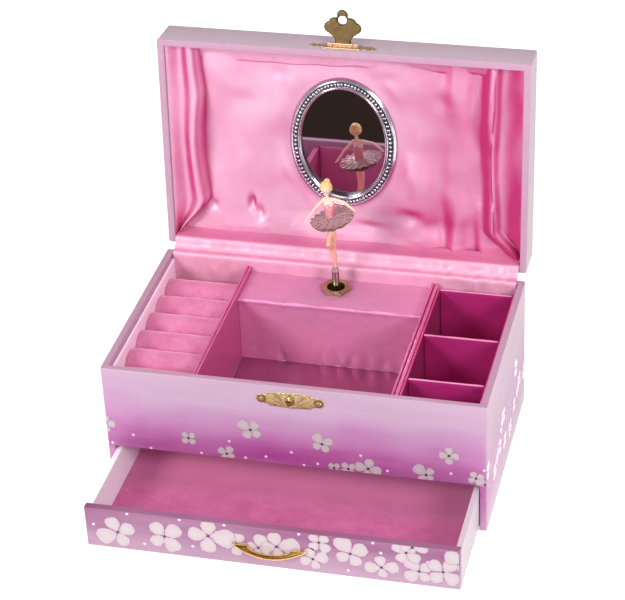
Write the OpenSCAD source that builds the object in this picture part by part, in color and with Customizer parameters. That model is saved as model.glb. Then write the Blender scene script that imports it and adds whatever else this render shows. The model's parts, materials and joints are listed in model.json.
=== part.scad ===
// Musical jewellery box: a paper-covered case with a hinged mirror lid, a fitted satin tray,
// a pull-out drawer and a clockwork movement that turns a small dancer.
// Millimetres. The origin is the middle of the case's underside, +Z is up, -Y is the front.
// The box is drawn with its lid open and its drawer pulled out.

/* [Case] */
// Width of the case
case_w = 220; // [212:1:240]
// Depth of the case
case_d = 132; // [130:1:140]
// Height of the case without the lid
case_h = 84; // [83:0.5:88]
// Thickness of the case panels
wall = 4; // [3.5:0.5:5]
// Height of the drawer opening's top edge
opening_top = 31; // [30.5:0.5:31.5]

/* [Lid] */
// Height of the lid
lid_t = 23; // [22:0.5:26]
// How far the lid stands open, in degrees
lid_open = 94; // [90:1:96]
// Distance from the back of the case to the hinge pins
hinge_gap = 3.1; // [3.1:0.1:3.5]
// Half width of the mirror's frame
mirror_half_w = 32.5; // [28:0.1:34]
// Half height of the mirror's frame
mirror_half_h = 41.5; // [36:0.1:43]

/* [Drawer] */
// How far the drawer is pulled out
drawer_out = 57; // [50:1:60]
// Width of the drawer
drawer_w = 211; // [210:0.5:211]
// Height of the drawer's top edge above the table
drawer_top = 30; // [29:0.5:30]

/* [Tray] */
// Height of the top of the tray's cards
card_top = 80.5; // [78:0.5:82]
// Height of the stage that the dancer stands on
stage_top = 77; // [75:0.5:77]
// Distance between neighbouring ring rolls
roll_pitch = 19.3; // [18:0.1:19.5]
// Number of ring rolls
roll_count = 6; // [4:1:6]

/* [Music] */
// Number of teeth of the comb
comb_teeth = 18; // [12:1:18]
// Radius of the pinned cylinder
cylinder_r = 6.5; // [6:0.1:6.6]

/* [Hidden] */

$fn = 64;
half_w = case_w / 2;
half_d = case_d / 2;
in_x = half_w - wall;
in_y = half_d - wall;
base_t = 3;
deck_low = 32;
deck_top = 35;
pad_t = 0.6;
card_t = 1.5;
card_low = deck_top + 0.05;
hinge_y = half_d + hinge_gap;

// Tray: where the cards stand, from left to right and front to back
ring_card_x = -58.9;
centre_left_x = -57.2;
centre_right_x = 55;
insert_left_x = 59.6;
insert_back_y = 53.5;
stage_front_y = 28.5;
stage_back_y = 61;
stage_t = 2;
cross_y = [-40.6, 4.4];
roll_r = roll_pitch / 2 - 0.1;
roll_z = 65;
roll_x0 = -104.2;
roll_mid_y = -3.3;
roll_x1 = ring_card_x - 0.3;
ring_base_top = roll_z - roll_r;

// Music movement: the cylinder's axle lies along X, the barrel's axis along Y
spindle_x = -1;
axle_y = 50;
axle_z = 59.5;
axle_r = 1;
fit = 0.05;
bed_y0 = 60;
bed_x0 = -37;
bed_x1 = 48;
bed_z0 = 38;
bed_z1 = 69;
pinion_teeth = 12;
pinion_r = 4;
crown_teeth = 24;
barrel_teeth = 33;
crown_mesh_r = pinion_r * crown_teeth / pinion_teeth;
barrel_mesh_r = pinion_r * barrel_teeth / pinion_teeth;
barrel_pinion_x = spindle_x - 10.5;
barrel_x = barrel_pinion_x - barrel_mesh_r;
tooth_w = 0.45;
tooth_reach = 0.45;
face_w = 1.2;
great_teeth = 36;
fan_teeth = 9;
great_r = 9;
fan_r = great_r * fan_teeth / great_teeth;
fan_y = axle_y - great_r - fan_r;
cyl_x0 = 12;
cyl_x1 = 33;
great_x = 34.6;
bracket_x = 37;
pin_rows = 18;
pin_count = 3;
pin_high = 0.8;

// Dancer: the figure folds forward about a line across the coil under its feet
fig_x = spindle_x;
fig_y = axle_y;
spring_low = 79;
spring_high = 88.8;
spring_r = 2.25;
foot_z = 91;
waist_z = 125;

// Hardware
brass_t = 0.8;
nail_r = 0.5;
nail_head_r = 1;
stud_z = 75.4;
hasp_v = 7;
hasp_hole_at = 15.5;
hasp_axis_gap = 1.3;
pull_half = 22;
pull_bow = 9.5;
hinge_xs = [-72, 72];
hinge_len = 26;
knuckle_r = 3;
hinge_pin_r = 1.2;

// ---------- Shared shapes ----------

// A block between two corners given as ranges
module slab(x, y, z) {
  translate([x[0], y[0], z[0]]) cube([x[1] - x[0], y[1] - y[0], z[1] - z[0]]);
}

// Children drawn on the closed lid, swung open about the hinge pins
module opened() {
  translate([0, hinge_y, case_h]) rotate([-lid_open, 0, 0]) translate([0, -hinge_y, -case_h]) children();
}

// A block in the lid: u runs from the hinge side to the front, v from the rim up
module lid_slab(x, u, v) {
  slab(x, [half_d - u[1], half_d - u[0]], [case_h + v[0], case_h + v[1]]);
}

// Children drawn in the drawer when it is shut, pulled out
module pulled() {
  translate([0, -drawer_out, 0]) children();
}

module along_x(x0) {
  translate([x0, 0, 0]) rotate([90, 0, 90]) children();
}

// A round-headed nail whose head rests at z = 0 and whose shank points down
module nail() {
  cylinder(r1 = nail_head_r, r2 = nail_head_r * 0.6, h = 0.5, $fn = 24);
  translate([0, 0, -3.2]) cylinder(r = nail_r, h = 3.4, $fn = 24);
}

module nail_hole() {
  translate([0, 0, -3.3]) cylinder(r = nail_r + 0.02, h = 3.6, $fn = 24);
}

// Flat plate with its back on z = 0, stood upright on a wall that faces the front
module on_front(x, y, z) {
  translate([x, y, z]) rotate([90, 0, 0]) children();
}

module on_back(x, y, z) {
  translate([x, y, z]) rotate([-90, 0, 0]) children();
}

// Outline of a spur gear with straight, narrow teeth
function gear_outline(n, root, tip, w) = [
  for (i = [0 : n - 1])
    let (a = i * 360 / n, half = asin(w / 2 / root), top = asin(w / 2 / tip))
      for (p = [[root, a - half], [tip, a - top], [tip, a + top], [root, a + half]])
        [p[0] * cos(p[1]), p[0] * sin(p[1])]
];

function ellipse(a, b) = [for (i = [0 : 71]) [a * cos(i * 5), b * sin(i * 5)]];

// A ring of upright teeth on a disc whose teeth start at z = 0
module crown_teeth_ring(n, mesh_r, h) {
  for (i = [0 : n - 1])
    rotate([0, 0, (i + 0.5) * 360 / n])
      translate([mesh_r - face_w, -tooth_w / 2, 0]) cube([face_w * 2, tooth_w, h]);
}

// ---------- Case ----------

module case_front_fascia() {
  color("orchid") difference() {
    slab([-in_x, in_x], [-half_d, -in_y], [opening_top, case_h]);
    for (p = latch_nail_places) on_front(p[0], -half_d - brass_t, p[1]) nail_hole();
    on_front(0, -half_d + 3, stud_z) cylinder(r = 1.02, h = 3.1, $fn = 32);
  }
}

module case_back() {
  color("plum") difference() {
    slab([-in_x, in_x], [in_y, half_d], [0, case_h]);
    on_back(barrel_x, in_y - 1, axle_z) cylinder(r = 4, h = wall + 2);
    for (p = bed_screw_places) on_back(p[0], in_y - 1, p[1]) cylinder(r = 1.3, h = wall + 2, $fn = 32);
    for (x = hinge_xs, s = [-1, 1]) on_back(x + s * 9, half_d + brass_t, case_h - 12) nail_hole();
  }
}

module case_left_side() {
  color("plum") slab([-half_w, -in_x], [-half_d, half_d], [0, case_h]);
}

module case_right_side() {
  color("plum") slab([in_x, half_w], [-half_d, half_d], [0, case_h]);
}

module case_base() {
  color("thistle") slab([-in_x, in_x], [-half_d, in_y], [0, base_t]);
}

module mid_deck() {
  color("thistle") slab([-in_x, in_x], [-in_y, in_y], [deck_low, deck_top]);
}

// ---------- Tray ----------

module floor_pads() {
  color("hotpink") {
    slab([centre_left_x + card_t + 0.3, centre_right_x - 0.3], [-in_y + card_t + 0.4, stage_front_y - 0.3],
         [deck_top + 0.05, deck_top + pad_t]);
    slab([insert_left_x + card_t + 0.3, in_x - card_t - 0.5], [-in_y + card_t + 0.4, insert_back_y - 0.3],
         [deck_top + 0.05, deck_top + pad_t]);
  }
}

module tray_divider_cards() {
  color("pink") {
    slab([ring_card_x, ring_card_x + card_t], [-in_y + 0.1, in_y - 0.7], [card_low, card_top]);
    slab([centre_left_x, centre_left_x + card_t], [-in_y + 0.1, in_y - 0.7], [card_low, card_top]);
    slab([centre_right_x, centre_right_x + card_t], [-in_y + 0.1, in_y - 0.7], [card_low, card_top]);
    slab([centre_left_x + card_t + 0.1, centre_right_x - 0.1], [-in_y + 0.1, -in_y + 0.1 + card_t],
         [card_low, card_top]);
  }
}

module stage_top_card() {
  color("pink") difference() {
    slab([centre_left_x + card_t + 0.1, centre_right_x - 0.1], [stage_front_y, stage_back_y],
         [stage_top - stage_t, stage_top]);
    translate([spindle_x, axle_y, stage_top - stage_t - 1]) cylinder(r = 6.45, h = stage_t + 2);
  }
}

module stage_front_card() {
  color("pink") slab([centre_left_x + card_t + 0.1, centre_right_x - 0.1],
                     [stage_front_y, stage_front_y + card_t], [card_low, stage_top - stage_t - 0.05]);
}

module right_insert_cards() {
  color("deeppink") {
    slab([insert_left_x, insert_left_x + card_t], [-in_y + 0.1, insert_back_y + card_t], [card_low, card_top]);
    slab([in_x - 0.1 - card_t, in_x - 0.1], [-in_y + 0.1, insert_back_y + card_t], [card_low, card_top]);
    slab([insert_left_x + card_t + 0.1, in_x - 0.2 - card_t], [insert_back_y, insert_back_y + card_t],
         [card_low, card_top]);
    slab([insert_left_x + card_t + 0.1, in_x - 0.2 - card_t], [-in_y + 0.1, -in_y + 0.1 + card_t],
         [card_low, card_top]);
  }
}

module right_cross_dividers() {
  color("deeppink") for (y = cross_y)
    slab([insert_left_x + card_t + 0.1, in_x - 0.2 - card_t], [y, y + card_t], [deck_top + pad_t + 0.1, card_top]);
}

module left_side_card() {
  color("pink") slab([-in_x + 0.1, -in_x + 0.1 + card_t], [-in_y + 0.1, in_y - 0.7], [card_low, card_top]);
}

module ring_cushion_base() {
  half = roll_count * roll_pitch / 2;
  color("palevioletred") slab([roll_x0, roll_x1], [roll_mid_y - half, roll_mid_y + half],
                              [card_low, ring_base_top - 0.1]);
}

module ring_rolls() {
  color("palevioletred") for (i = [0 : roll_count - 1])
    translate([roll_x0, roll_mid_y + (i - (roll_count - 1) / 2) * roll_pitch, roll_z])
      rotate([0, 90, 0]) cylinder(r = roll_r, h = roll_x1 - roll_x0);
}

// Six-sided brass ferrule that lines the dancer's hole in the stage
module spindle_ferrule() {
  color("darkgoldenrod") translate([spindle_x, axle_y, 0]) difference() {
    union() {
      translate([0, 0, stage_top]) cylinder(r = 9.5, h = 1.2, $fn = 6);
      translate([0, 0, stage_top - 6]) cylinder(r = 6.4, h = 6.5);
    }
    translate([0, 0, stage_top - 7]) cylinder(r = 5.45, h = 10);
  }
}

// ---------- Brass hardware ----------

latch_nail_places = [[-17, stud_z], [17, stud_z]];
hasp_nail_xs = [-17, 17];

module plaque(half_len, half_high) {
  square([half_len * 2 - 5, half_high * 1.2], center = true);
  circle(r = half_high);
  for (s = [-1, 1]) {
    translate([s * (half_len - 3), 0]) circle(r = 3);
    translate([s * half_len * 0.5, 0]) circle(r = half_high * 0.85);
  }
}

// The stud that the hasp drops over is riveted through its plate into the case
module latch_plate() {
  color("gold") {
    difference() {
      on_front(0, -half_d, stud_z) linear_extrude(brass_t) plaque(19.7, 5.8);
      for (p = latch_nail_places) on_front(p[0], -half_d - brass_t, p[1]) nail_hole();
    }
    on_front(0, -half_d + 2.8, stud_z) cylinder(r = 1, h = 4, $fn = 32);
    on_front(0, -half_d - brass_t + 0.1, stud_z) cylinder(r = 1.8, h = 1.7, $fn = 32);
    on_front(0, -half_d - brass_t - 1.5, stud_z) cylinder(r = 2.1, h = 1.5, $fn = 32);
  }
}

module case_brass_nails() {
  color("gold") {
    for (p = latch_nail_places) on_front(p[0], -half_d - brass_t, p[1]) nail();
    for (x = hinge_xs, s = [-1, 1]) on_back(x + s * 9, half_d + brass_t, case_h - 12) nail();
  }
}

// One hinge has three knuckles: the case holds the outer two, the lid the middle one
module knuckle(x0, x1) {
  along_x(x0) translate([hinge_y, case_h]) linear_extrude(x1 - x0) difference() {
    circle(r = knuckle_r);
    circle(r = hinge_pin_r + fit, $fn = 48);
  }
}

module leaf_cut(x0, x1) {
  along_x(x0) translate([hinge_y, case_h]) linear_extrude(x1 - x0) circle(r = knuckle_r + 0.3);
}

module pin_cut(x) {
  along_x(x - hinge_len / 2 - 1) translate([hinge_y, case_h]) cylinder(r = hinge_pin_r + fit, h = hinge_len + 2, $fn = 48);
}

module hinge_case_leaves() {
  color("gold") for (x = hinge_xs) {
    difference() {
      slab([x - hinge_len / 2, x + hinge_len / 2], [half_d, half_d + brass_t], [case_h - 17, case_h - 0.4]);
      leaf_cut(x - 4.7, x + 4.7);
      for (s = [-1, 1]) on_back(x + s * 9, half_d + brass_t, case_h - 12) nail_hole();
      pin_cut(x);
    }
    for (s = [-1, 1]) knuckle(x + min(s * 5, s * 13), x + max(s * 5, s * 13));
  }
}

module hinge_lid_leaves() {
  color("gold") opened() for (x = hinge_xs) {
    difference() {
      slab([x - hinge_len / 2, x + hinge_len / 2], [half_d, half_d + brass_t], [case_h + 0.4, case_h + 17]);
      leaf_cut(x - 13.5, x - 4.7);
      leaf_cut(x + 4.7, x + 13.5);
      for (s = [-1, 1]) on_back(x + s * 9, half_d + brass_t, case_h + 12) nail_hole();
      pin_cut(x);
    }
    knuckle(x - 4.7, x + 4.7);
  }
}

module hinge_pins() {
  color("silver") for (x = hinge_xs)
    along_x(x - hinge_len / 2 - 0.5) translate([hinge_y, case_h]) cylinder(r = hinge_pin_r, h = hinge_len + 1, $fn = 48);
}

module lid_brass_nails() {
  color("gold") opened() {
    for (x = hasp_nail_xs) on_front(x, -half_d - brass_t, case_h + hasp_v) nail();
    for (x = hinge_xs, s = [-1, 1]) on_back(x + s * 9, half_d + brass_t, case_h + 12) nail();
  }
}

module hasp_plate() {
  color("gold") opened() {
    difference() {
      on_front(0, -half_d, case_h + hasp_v) linear_extrude(brass_t) plaque(20, 5);
      for (x = hasp_nail_xs) on_front(x, -half_d - brass_t, case_h + hasp_v) nail_hole();
      slab([-6, 6], [-half_d - 1, -half_d - 0.25], [case_h + hasp_v - 1.6, case_h + hasp_v + 1.6]);
    }
    for (s = [-1, 1])
      along_x(s * 7.6 - 1.4) translate([-half_d - hasp_axis_gap, case_h + hasp_v]) linear_extrude(2.8) difference() {
        union() {
          circle(r = 1.2, $fn = 32);
          translate([0, -1.2]) square([hasp_axis_gap, 2.4]);
        }
        circle(r = 0.52, $fn = 32);
      }
  }
}

module hasp_pin() {
  color("silver") opened()
    along_x(-9.4) translate([-half_d - hasp_axis_gap, case_h + hasp_v]) cylinder(r = 0.5, h = 18.8, $fn = 32);
}

// The leaf stands square to the lid's front edge, so it points along -Y on the closed lid
module hasp_leaf() {
  color("gold") opened() translate([0, -half_d - hasp_axis_gap, case_h + hasp_v]) {
    difference() {
      union() {
        translate([0, 0, -0.4]) rotate([0, 0, 180]) linear_extrude(0.8) hasp_outline();
        along_x(-5.9) linear_extrude(11.8) circle(r = 1, $fn = 32);
      }
      along_x(-7) linear_extrude(14) circle(r = 0.55, $fn = 32);
      translate([0, -hasp_hole_at, -1]) cylinder(r = 2.9, h = 2);
    }
  }
}

module hasp_outline() {
  polygon([[-5.6, 0], [5.6, 0], [5.2, 4], [9.5, 9], [-9.5, 9], [-5.2, 4]]);
  for (s = [-1, 1]) {
    translate([s * 7.6, 11]) circle(r = 3.6);
    translate([s * 4.2, 13.6]) circle(r = 3.6);
  }
  translate([0, 12]) circle(r = 6.5);
  translate([0, 18.4]) circle(r = 3.3);
}

// ---------- Lid ----------

module lid_panel() {
  color("thistle") opened() lid_slab([-half_w, half_w], [0, case_d], [lid_t - wall, lid_t]);
}

module lid_front_rail() {
  color("thistle") opened() difference() {
    lid_slab([-half_w, half_w], [case_d - wall, case_d], [0, lid_t - wall]);
    for (x = hasp_nail_xs) on_front(x, -half_d - brass_t, case_h + hasp_v) nail_hole();
  }
}

module lid_back_rail() {
  color("thistle") opened() difference() {
    lid_slab([-half_w, half_w], [0, wall], [0, lid_t - wall]);
    for (x = hinge_xs, s = [-1, 1]) on_back(x + s * 9, half_d + brass_t, case_h + 12) nail_hole();
  }
}

module lid_side_rails() {
  color("thistle") opened() {
    lid_slab([-half_w, -in_x], [wall, case_d - wall], [0, lid_t - wall]);
    lid_slab([in_x, half_w], [wall, case_d - wall], [0, lid_t - wall]);
  }
}

lining_v = 15;
lining_u0 = 6;
mirror_x = -2.7;
mirror_u = 68.4;
mirror_rim = 7;

module lid_lining() {
  color("pink") opened()
    lid_slab([-in_x + 0.1, in_x - 0.1], [lining_u0, case_d - wall - 0.1], [lining_v, lid_t - wall - 0.05]);
}

// Wedges of wadding that slope from the rim down to the flat of the lining
module edge_wedge(len, w) {
  linear_extrude(len) polygon([[0, -1.5], [0, -lining_v + 0.1], [w, -lining_v + 0.1], [1.5, -1.5]]);
}

module lid_edge_padding() {
  color("hotpink") opened() translate([0, half_d, case_h]) {
    for (s = [0, 1]) mirror([s, 0, 0])
      translate([-in_x + 0.1, -lining_u0, 0]) rotate([90, 0, 0]) mirror([0, 1, 0])
        edge_wedge(case_d - wall - 0.1 - lining_u0, 12);
    translate([-in_x + 13, -case_d + wall + 0.1, 0]) rotate([90, 0, 90]) mirror([0, 1, 0])
      edge_wedge(2 * in_x - 26, 9);
  }
}

// Satin strip that bridges the hinge line between the lining and the inside of the case
flap_half_w = 104.2;

module hinge_flap() {
  y0 = in_y - 0.5;
  y1 = hinge_y + 0.1;
  z1 = case_h + hinge_gap + 4.6;
  color("hotpink") along_x(-flap_half_w) linear_extrude(2 * flap_half_w)
    polygon([[y0, 70], [y0 + 0.4, 70], [y0 + 0.4, case_h + 0.4], [y1, z1], [y1, z1 + 0.6], [y0, case_h + 0.6]]);
}

module mirror_frame() {
  color("silver") opened() translate([mirror_x, half_d - mirror_u, case_h + 12]) {
    difference() {
      linear_extrude(lining_v - 12.1) polygon(ellipse(mirror_half_w, mirror_half_h));
      translate([0, 0, -1]) linear_extrude(5)
        polygon(ellipse(mirror_half_w - mirror_rim, mirror_half_h - mirror_rim));
      translate([0, 0, 1.4]) linear_extrude(5)
        polygon(ellipse(mirror_half_w - mirror_rim + 2, mirror_half_h - mirror_rim + 2));
    }
  }
}

module mirror_glass() {
  color("lightcyan") opened() translate([mirror_x, half_d - mirror_u, case_h + 13.5])
    linear_extrude(1.3) polygon(ellipse(mirror_half_w - mirror_rim + 1.9, mirror_half_h - mirror_rim + 1.9));
}

// ---------- Drawer ----------

drawer_half = drawer_w / 2;
drawer_back_y = in_y - 2;
drawer_low = 3.2;
drawer_side_top = drawer_top - 2;
drawer_side_t = 3;
drawer_floor_z = 5;
drawer_floor_t = 2;

module drawer_front() {
  color("mediumorchid") pulled() difference() {
    slab([-drawer_half, drawer_half], [-half_d, -half_d + wall], [base_t + 0.8, drawer_top]);
    for (s = [-1, 1]) on_front(s * (pull_half - 2), -half_d - brass_t, pull_z) nail_hole();
  }
}

module drawer_walls() {
  color("lavenderblush") pulled() {
    for (s = [0, 1]) mirror([s, 0, 0])
      slab([drawer_half - drawer_side_t, drawer_half], [-half_d + wall, drawer_back_y],
           [drawer_low, drawer_side_top]);
    slab([-drawer_half + drawer_side_t, drawer_half - drawer_side_t],
         [drawer_back_y - drawer_side_t, drawer_back_y], [drawer_low, drawer_side_top]);
  }
}

module drawer_bottom() {
  color("lavenderblush") pulled()
    slab([-drawer_half + drawer_side_t, drawer_half - drawer_side_t],
         [-half_d + wall, drawer_back_y - drawer_side_t], [drawer_floor_z - drawer_floor_t + 0.8, drawer_floor_z]);
}

module drawer_felt() {
  color("mediumvioletred") pulled()
    slab([-drawer_half + drawer_side_t + 0.1, drawer_half - drawer_side_t - 0.1],
         [-half_d + wall + 0.1, drawer_back_y - drawer_side_t - 0.1], [drawer_floor_z, drawer_floor_z + pad_t]);
}

// Crescent strip: two arcs with the same ends, the outer one bowed further
pull_z = 17;
pull_tilt = 35;
pull_inner_bow = 6.8;
pull_t = 1.6;

function arc_r(bow) = (pull_half * pull_half + bow * bow) / (2 * bow);

module pull_outline() {
  intersection() {
    difference() {
      translate([0, arc_r(pull_bow) - pull_bow]) circle(r = arc_r(pull_bow), $fn = 128);
      translate([0, arc_r(pull_inner_bow) - pull_inner_bow]) circle(r = arc_r(pull_inner_bow), $fn = 128);
    }
    translate([-pull_half, -20]) square([2 * pull_half, 19.2]);
  }
}

module drawer_pull() {
  color("gold") pulled() {
    difference() {
      union() {
        translate([0, -half_d - brass_t + 0.6, pull_z]) rotate([pull_tilt, 0, 0])
          translate([0, 0, -pull_t / 2]) linear_extrude(pull_t) pull_outline();
        for (s = [-1, 1]) on_front(s * (pull_half - 2), -half_d, pull_z)
          linear_extrude(brass_t) circle(r = 2, $fn = 32);
      }
      for (s = [-1, 1]) on_front(s * (pull_half - 2), -half_d - brass_t, pull_z) {
        nail_hole();
        cylinder(r = nail_head_r + 0.05, h = 0.6, $fn = 24);
      }
    }
  }
}

module drawer_pull_nails() {
  color("gold") pulled() for (s = [-1, 1]) on_front(s * (pull_half - 2), -half_d - brass_t, pull_z) nail();
}

// ---------- Music movement ----------

bed_screw_places = [[bed_x0 + 4, bed_z0 + 5], [bed_x1 - 4, bed_z0 + 5], [bed_x1 - 4, bed_z1 - 5]];

module movement_bedplate() {
  color("darkgoldenrod") difference() {
    slab([bed_x0, bed_x1], [bed_y0, in_y], [bed_z0, bed_z1]);
    on_back(barrel_x, bed_y0 - 1, axle_z) cylinder(r = 1.5 + fit, h = 4);
    for (p = bed_screw_places) on_back(p[0], bed_y0 - 1, p[1]) cylinder(r = 1.2, h = 4, $fn = 32);
  }
}

// Left bracket holds the axle beside the barrel, right one the axle and the governor
module axle_brackets() {
  color("goldenrod") difference() {
    union() {
      slab([spindle_x - 8, spindle_x - 6.5], [axle_y - 3.5, bed_y0], [axle_z - 3.5, axle_z + 3.5]);
      slab([bracket_x, bracket_x + 1.6], [fan_y - 3.5, bed_y0], [axle_z - 3.5, axle_z + 3.5]);
    }
    along_x(spindle_x - 9) translate([axle_y, axle_z]) cylinder(r = axle_r + fit, h = 60, $fn = 48);
    along_x(bracket_x - 1) translate([fan_y, axle_z]) cylinder(r = 0.8 + fit, h = 4, $fn = 48);
  }
}

module spindle_bracket() {
  color("goldenrod") difference() {
    slab([spindle_x - 4, spindle_x + 4], [axle_y - 4, bed_y0], [66.4, 68.4]);
    translate([spindle_x, axle_y, 65]) cylinder(r = 1.5 + fit, h = 5, $fn = 48);
  }
}

comb_y = axle_y - 0.5;
comb_tip_z = axle_z - cylinder_r - pin_high - 0.3;
comb_base_z = 45;

module comb_block() {
  color("silver") slab([cyl_x0, cyl_x1], [comb_y + 1, bed_y0], [40, comb_base_z]);
}

function comb_outline(n, pitch, w, low, high) = concat(
  [[0, low], [n * pitch, low]],
  [for (i = [n - 1 : -1 : 0], p = [[(pitch + w) / 2, comb_base_z], [(pitch + w) / 2, high],
                                   [(pitch - w) / 2, high], [(pitch - w) / 2, comb_base_z]])
    [i * pitch + p[0], p[1]]]
);

module music_comb() {
  pitch = (cyl_x1 - cyl_x0 - 1.2) / comb_teeth;
  color("lightsteelblue") translate([cyl_x0 + 0.6, comb_y + 1, 0]) rotate([90, 0, 0])
    linear_extrude(1) polygon(comb_outline(comb_teeth, pitch, pitch * 0.72, 40.5, comb_tip_z));
}

module movement_screws() {
  color("silver") for (p = bed_screw_places) {
    on_back(p[0], bed_y0, p[1]) cylinder(r = 1.2, h = half_d - bed_y0, $fn = 32);
    on_back(p[0], half_d, p[1]) cylinder(r = 2.4, h = 1.1, $fn = 32);
  }
}

// Pins are scattered by a fixed rule, a few on each track of the comb
module music_cylinder() {
  pitch = (cyl_x1 - cyl_x0 - 1.2) / pin_rows;
  color("gold") difference() {
    union() {
      along_x(cyl_x0) translate([axle_y, axle_z]) cylinder(r = cylinder_r, h = cyl_x1 - cyl_x0);
      for (i = [0 : pin_rows - 1], k = [0 : pin_count - 1])
        translate([cyl_x0 + 0.6 + (i + 0.5) * pitch, axle_y, axle_z])
          rotate([37 + i * 67 + k * 137, 0, 0]) translate([0, 0, cylinder_r - 0.5])
            cylinder(r = 0.25, h = pin_high + 0.5, $fn = 16);
    }
    along_x(cyl_x0 - 1) translate([axle_y, axle_z]) cylinder(r = axle_r, h = cyl_x1 - cyl_x0 + 2, $fn = 48);
  }
}

module cylinder_axle() {
  color("silver") along_x(barrel_pinion_x - 1) translate([axle_y, axle_z])
    cylinder(r = axle_r, h = bracket_x + 2.6 - barrel_pinion_x, $fn = 48);
}

module axle_wheel(x_mid, w, n, r, reach, turn) {
  along_x(x_mid - w / 2) translate([axle_y, axle_z]) difference() {
    rotate([0, 0, turn]) linear_extrude(w) polygon(gear_outline(n, r - reach - 0.3, r + reach, tooth_w));
    translate([0, 0, -1]) cylinder(r = axle_r, h = w + 2, $fn = 48);
  }
}

module cylinder_gears() {
  color("goldenrod") {
    axle_wheel(barrel_pinion_x, face_w, pinion_teeth, pinion_r, tooth_reach, 0);
    axle_wheel(spindle_x + crown_mesh_r, face_w, pinion_teeth, pinion_r, tooth_reach, 0);
    axle_wheel(great_x + 0.6, face_w, great_teeth, great_r, 0.3, 5);
  }
}

barrel_r = barrel_mesh_r + 1;
barrel_y0 = axle_y + pinion_r + tooth_reach + 0.25;

module spring_barrel() {
  color("gold") difference() {
    union() {
      on_back(barrel_x, barrel_y0, axle_z) cylinder(r = barrel_r, h = bed_y0 - 0.4 - barrel_y0);
      on_front(barrel_x, barrel_y0 + 0.1, axle_z)
        crown_teeth_ring(barrel_teeth, barrel_mesh_r - 0.2, tooth_reach * 2 + 0.2);
    }
    on_back(barrel_x, barrel_y0 + 0.8, axle_z) cylinder(r = barrel_r - 0.9, h = 3.2);
    on_back(barrel_x, barrel_y0 - 3, axle_z) cylinder(r = 1.5 + fit, h = 12, $fn = 48);
  }
}

// Flat spiral spring, wound from the arbor out to the barrel's wall
spiral_turns = 5;

function spiral(r0, r1, n) = [
  for (i = [0 : n]) let (a = spiral_turns * 360 * i / n, r = r0 + (r1 - r0) * i / n) [r * cos(a), r * sin(a)]
];

module mainspring() {
  n = spiral_turns * 24;
  outer = spiral(2.6, barrel_r - 1.2, n);
  inner = spiral(2.3, barrel_r - 1.5, n);
  color("steelblue") on_back(barrel_x, barrel_y0 + 1, axle_z)
    linear_extrude(2.8) polygon(concat(outer, [for (i = [n : -1 : 0]) inner[i]]));
}

module winding_arbor() {
  color("silver") on_back(barrel_x, barrel_y0 - 1, axle_z) cylinder(r = 1.5, h = half_d + 10 - barrel_y0, $fn = 48);
}

// Butterfly key with a finger loop on each side
key_y = half_d + 6;
key_ear_at = 8;

module winding_key() {
  color("silver") translate([barrel_x, key_y, axle_z]) {
    difference() {
      union() {
        rotate([-90, 0, 0]) cylinder(r = 3, h = 9, $fn = 48);
        translate([0, 11, -0.6]) linear_extrude(1.2) {
          for (s = [-1, 1]) translate([s * key_ear_at, 0]) circle(r = 6);
          square([2 * key_ear_at, 5], center = true);
        }
      }
      for (s = [-1, 1]) translate([s * key_ear_at, 11, -2]) cylinder(r = 3.6, h = 4);
      translate([0, -1, 0]) rotate([-90, 0, 0]) cylinder(r = 1.5, h = 5, $fn = 48);
    }
  }
}

crown_z = axle_z + pinion_r + tooth_reach + 0.25;

module spindle() {
  color("silver") translate([spindle_x, axle_y, crown_z - 0.6]) cylinder(r = 1.5, h = spring_low - crown_z + 0.6, $fn = 48);
}

module crown_wheel() {
  color("goldenrod") translate([spindle_x, axle_y, crown_z]) difference() {
    union() {
      cylinder(r = crown_mesh_r + 1.2, h = 1.2);
      mirror([0, 0, 1]) translate([0, 0, -0.1])
        crown_teeth_ring(crown_teeth, crown_mesh_r - 0.1, tooth_reach * 2 + 0.2);
    }
    translate([0, 0, -2]) cylinder(r = 1.5, h = 5, $fn = 48);
  }
}

module governor_fan() {
  color("gold") {
    along_x(great_x - 0.4) translate([fan_y, axle_z]) cylinder(r = 0.8, h = 16, $fn = 48);
    along_x(great_x) translate([fan_y, axle_z])
      linear_extrude(face_w) polygon(gear_outline(fan_teeth, fan_r - 0.65, fan_r + 0.3, tooth_w));
    slab([bracket_x + 3.4, bracket_x + 11.4], [fan_y - 6, fan_y + 6], [axle_z - 0.3, axle_z + 0.3]);
  }
}

// ---------- Dancer ----------

module at_figure() {
  translate([fig_x, fig_y, 0]) children();
}

module limb(a, b, ra, rb) {
  hull() {
    translate(a) sphere(r = ra, $fn = 12);
    translate(b) sphere(r = rb, $fn = 12);
  }
}

module dancer_spring() {
  color("silver") at_figure() translate([0, 0, spring_low]) cylinder(r = spring_r, h = spring_high - spring_low);
}

hip = [-1, 0, 117];
chest = [-2, 0, 133];
head = [-3.4, 0, 146.4];

module dancer_figure() {
  color("peachpuff") at_figure() {
    translate([0, 0, spring_high]) cylinder(r = 2.5, h = 1.6, $fn = 24);
    limb([0.2, 0, 90.8], [-0.4, 0, 104], 1, 1.7);
    limb([-0.4, 0, 104], hip, 1.7, 2.3);
    limb([-1.8, -7.5, 110.5], [-1.6, 0, 117], 1.6, 2);
    limb([-1.8, -7.5, 110.5], [-2.1, -0.6, 104.6], 1.4, 0.7);
    limb(hip, [-1.6, 0, 124], 2.6, 2.3);
    limb([-1.6, 0, 124], chest, 2.3, 3.2);
    limb(chest, head, 1.5, 1.5);
    translate(head) sphere(r = 3.4, $fn = 16);
    limb([-5, 0, 134.5], [-17.2, -1, 121.5], 1.2, 0.9);
    limb([1.4, 0, 135], [13, -1, 131], 1.2, 0.9);
  }
}

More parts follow.
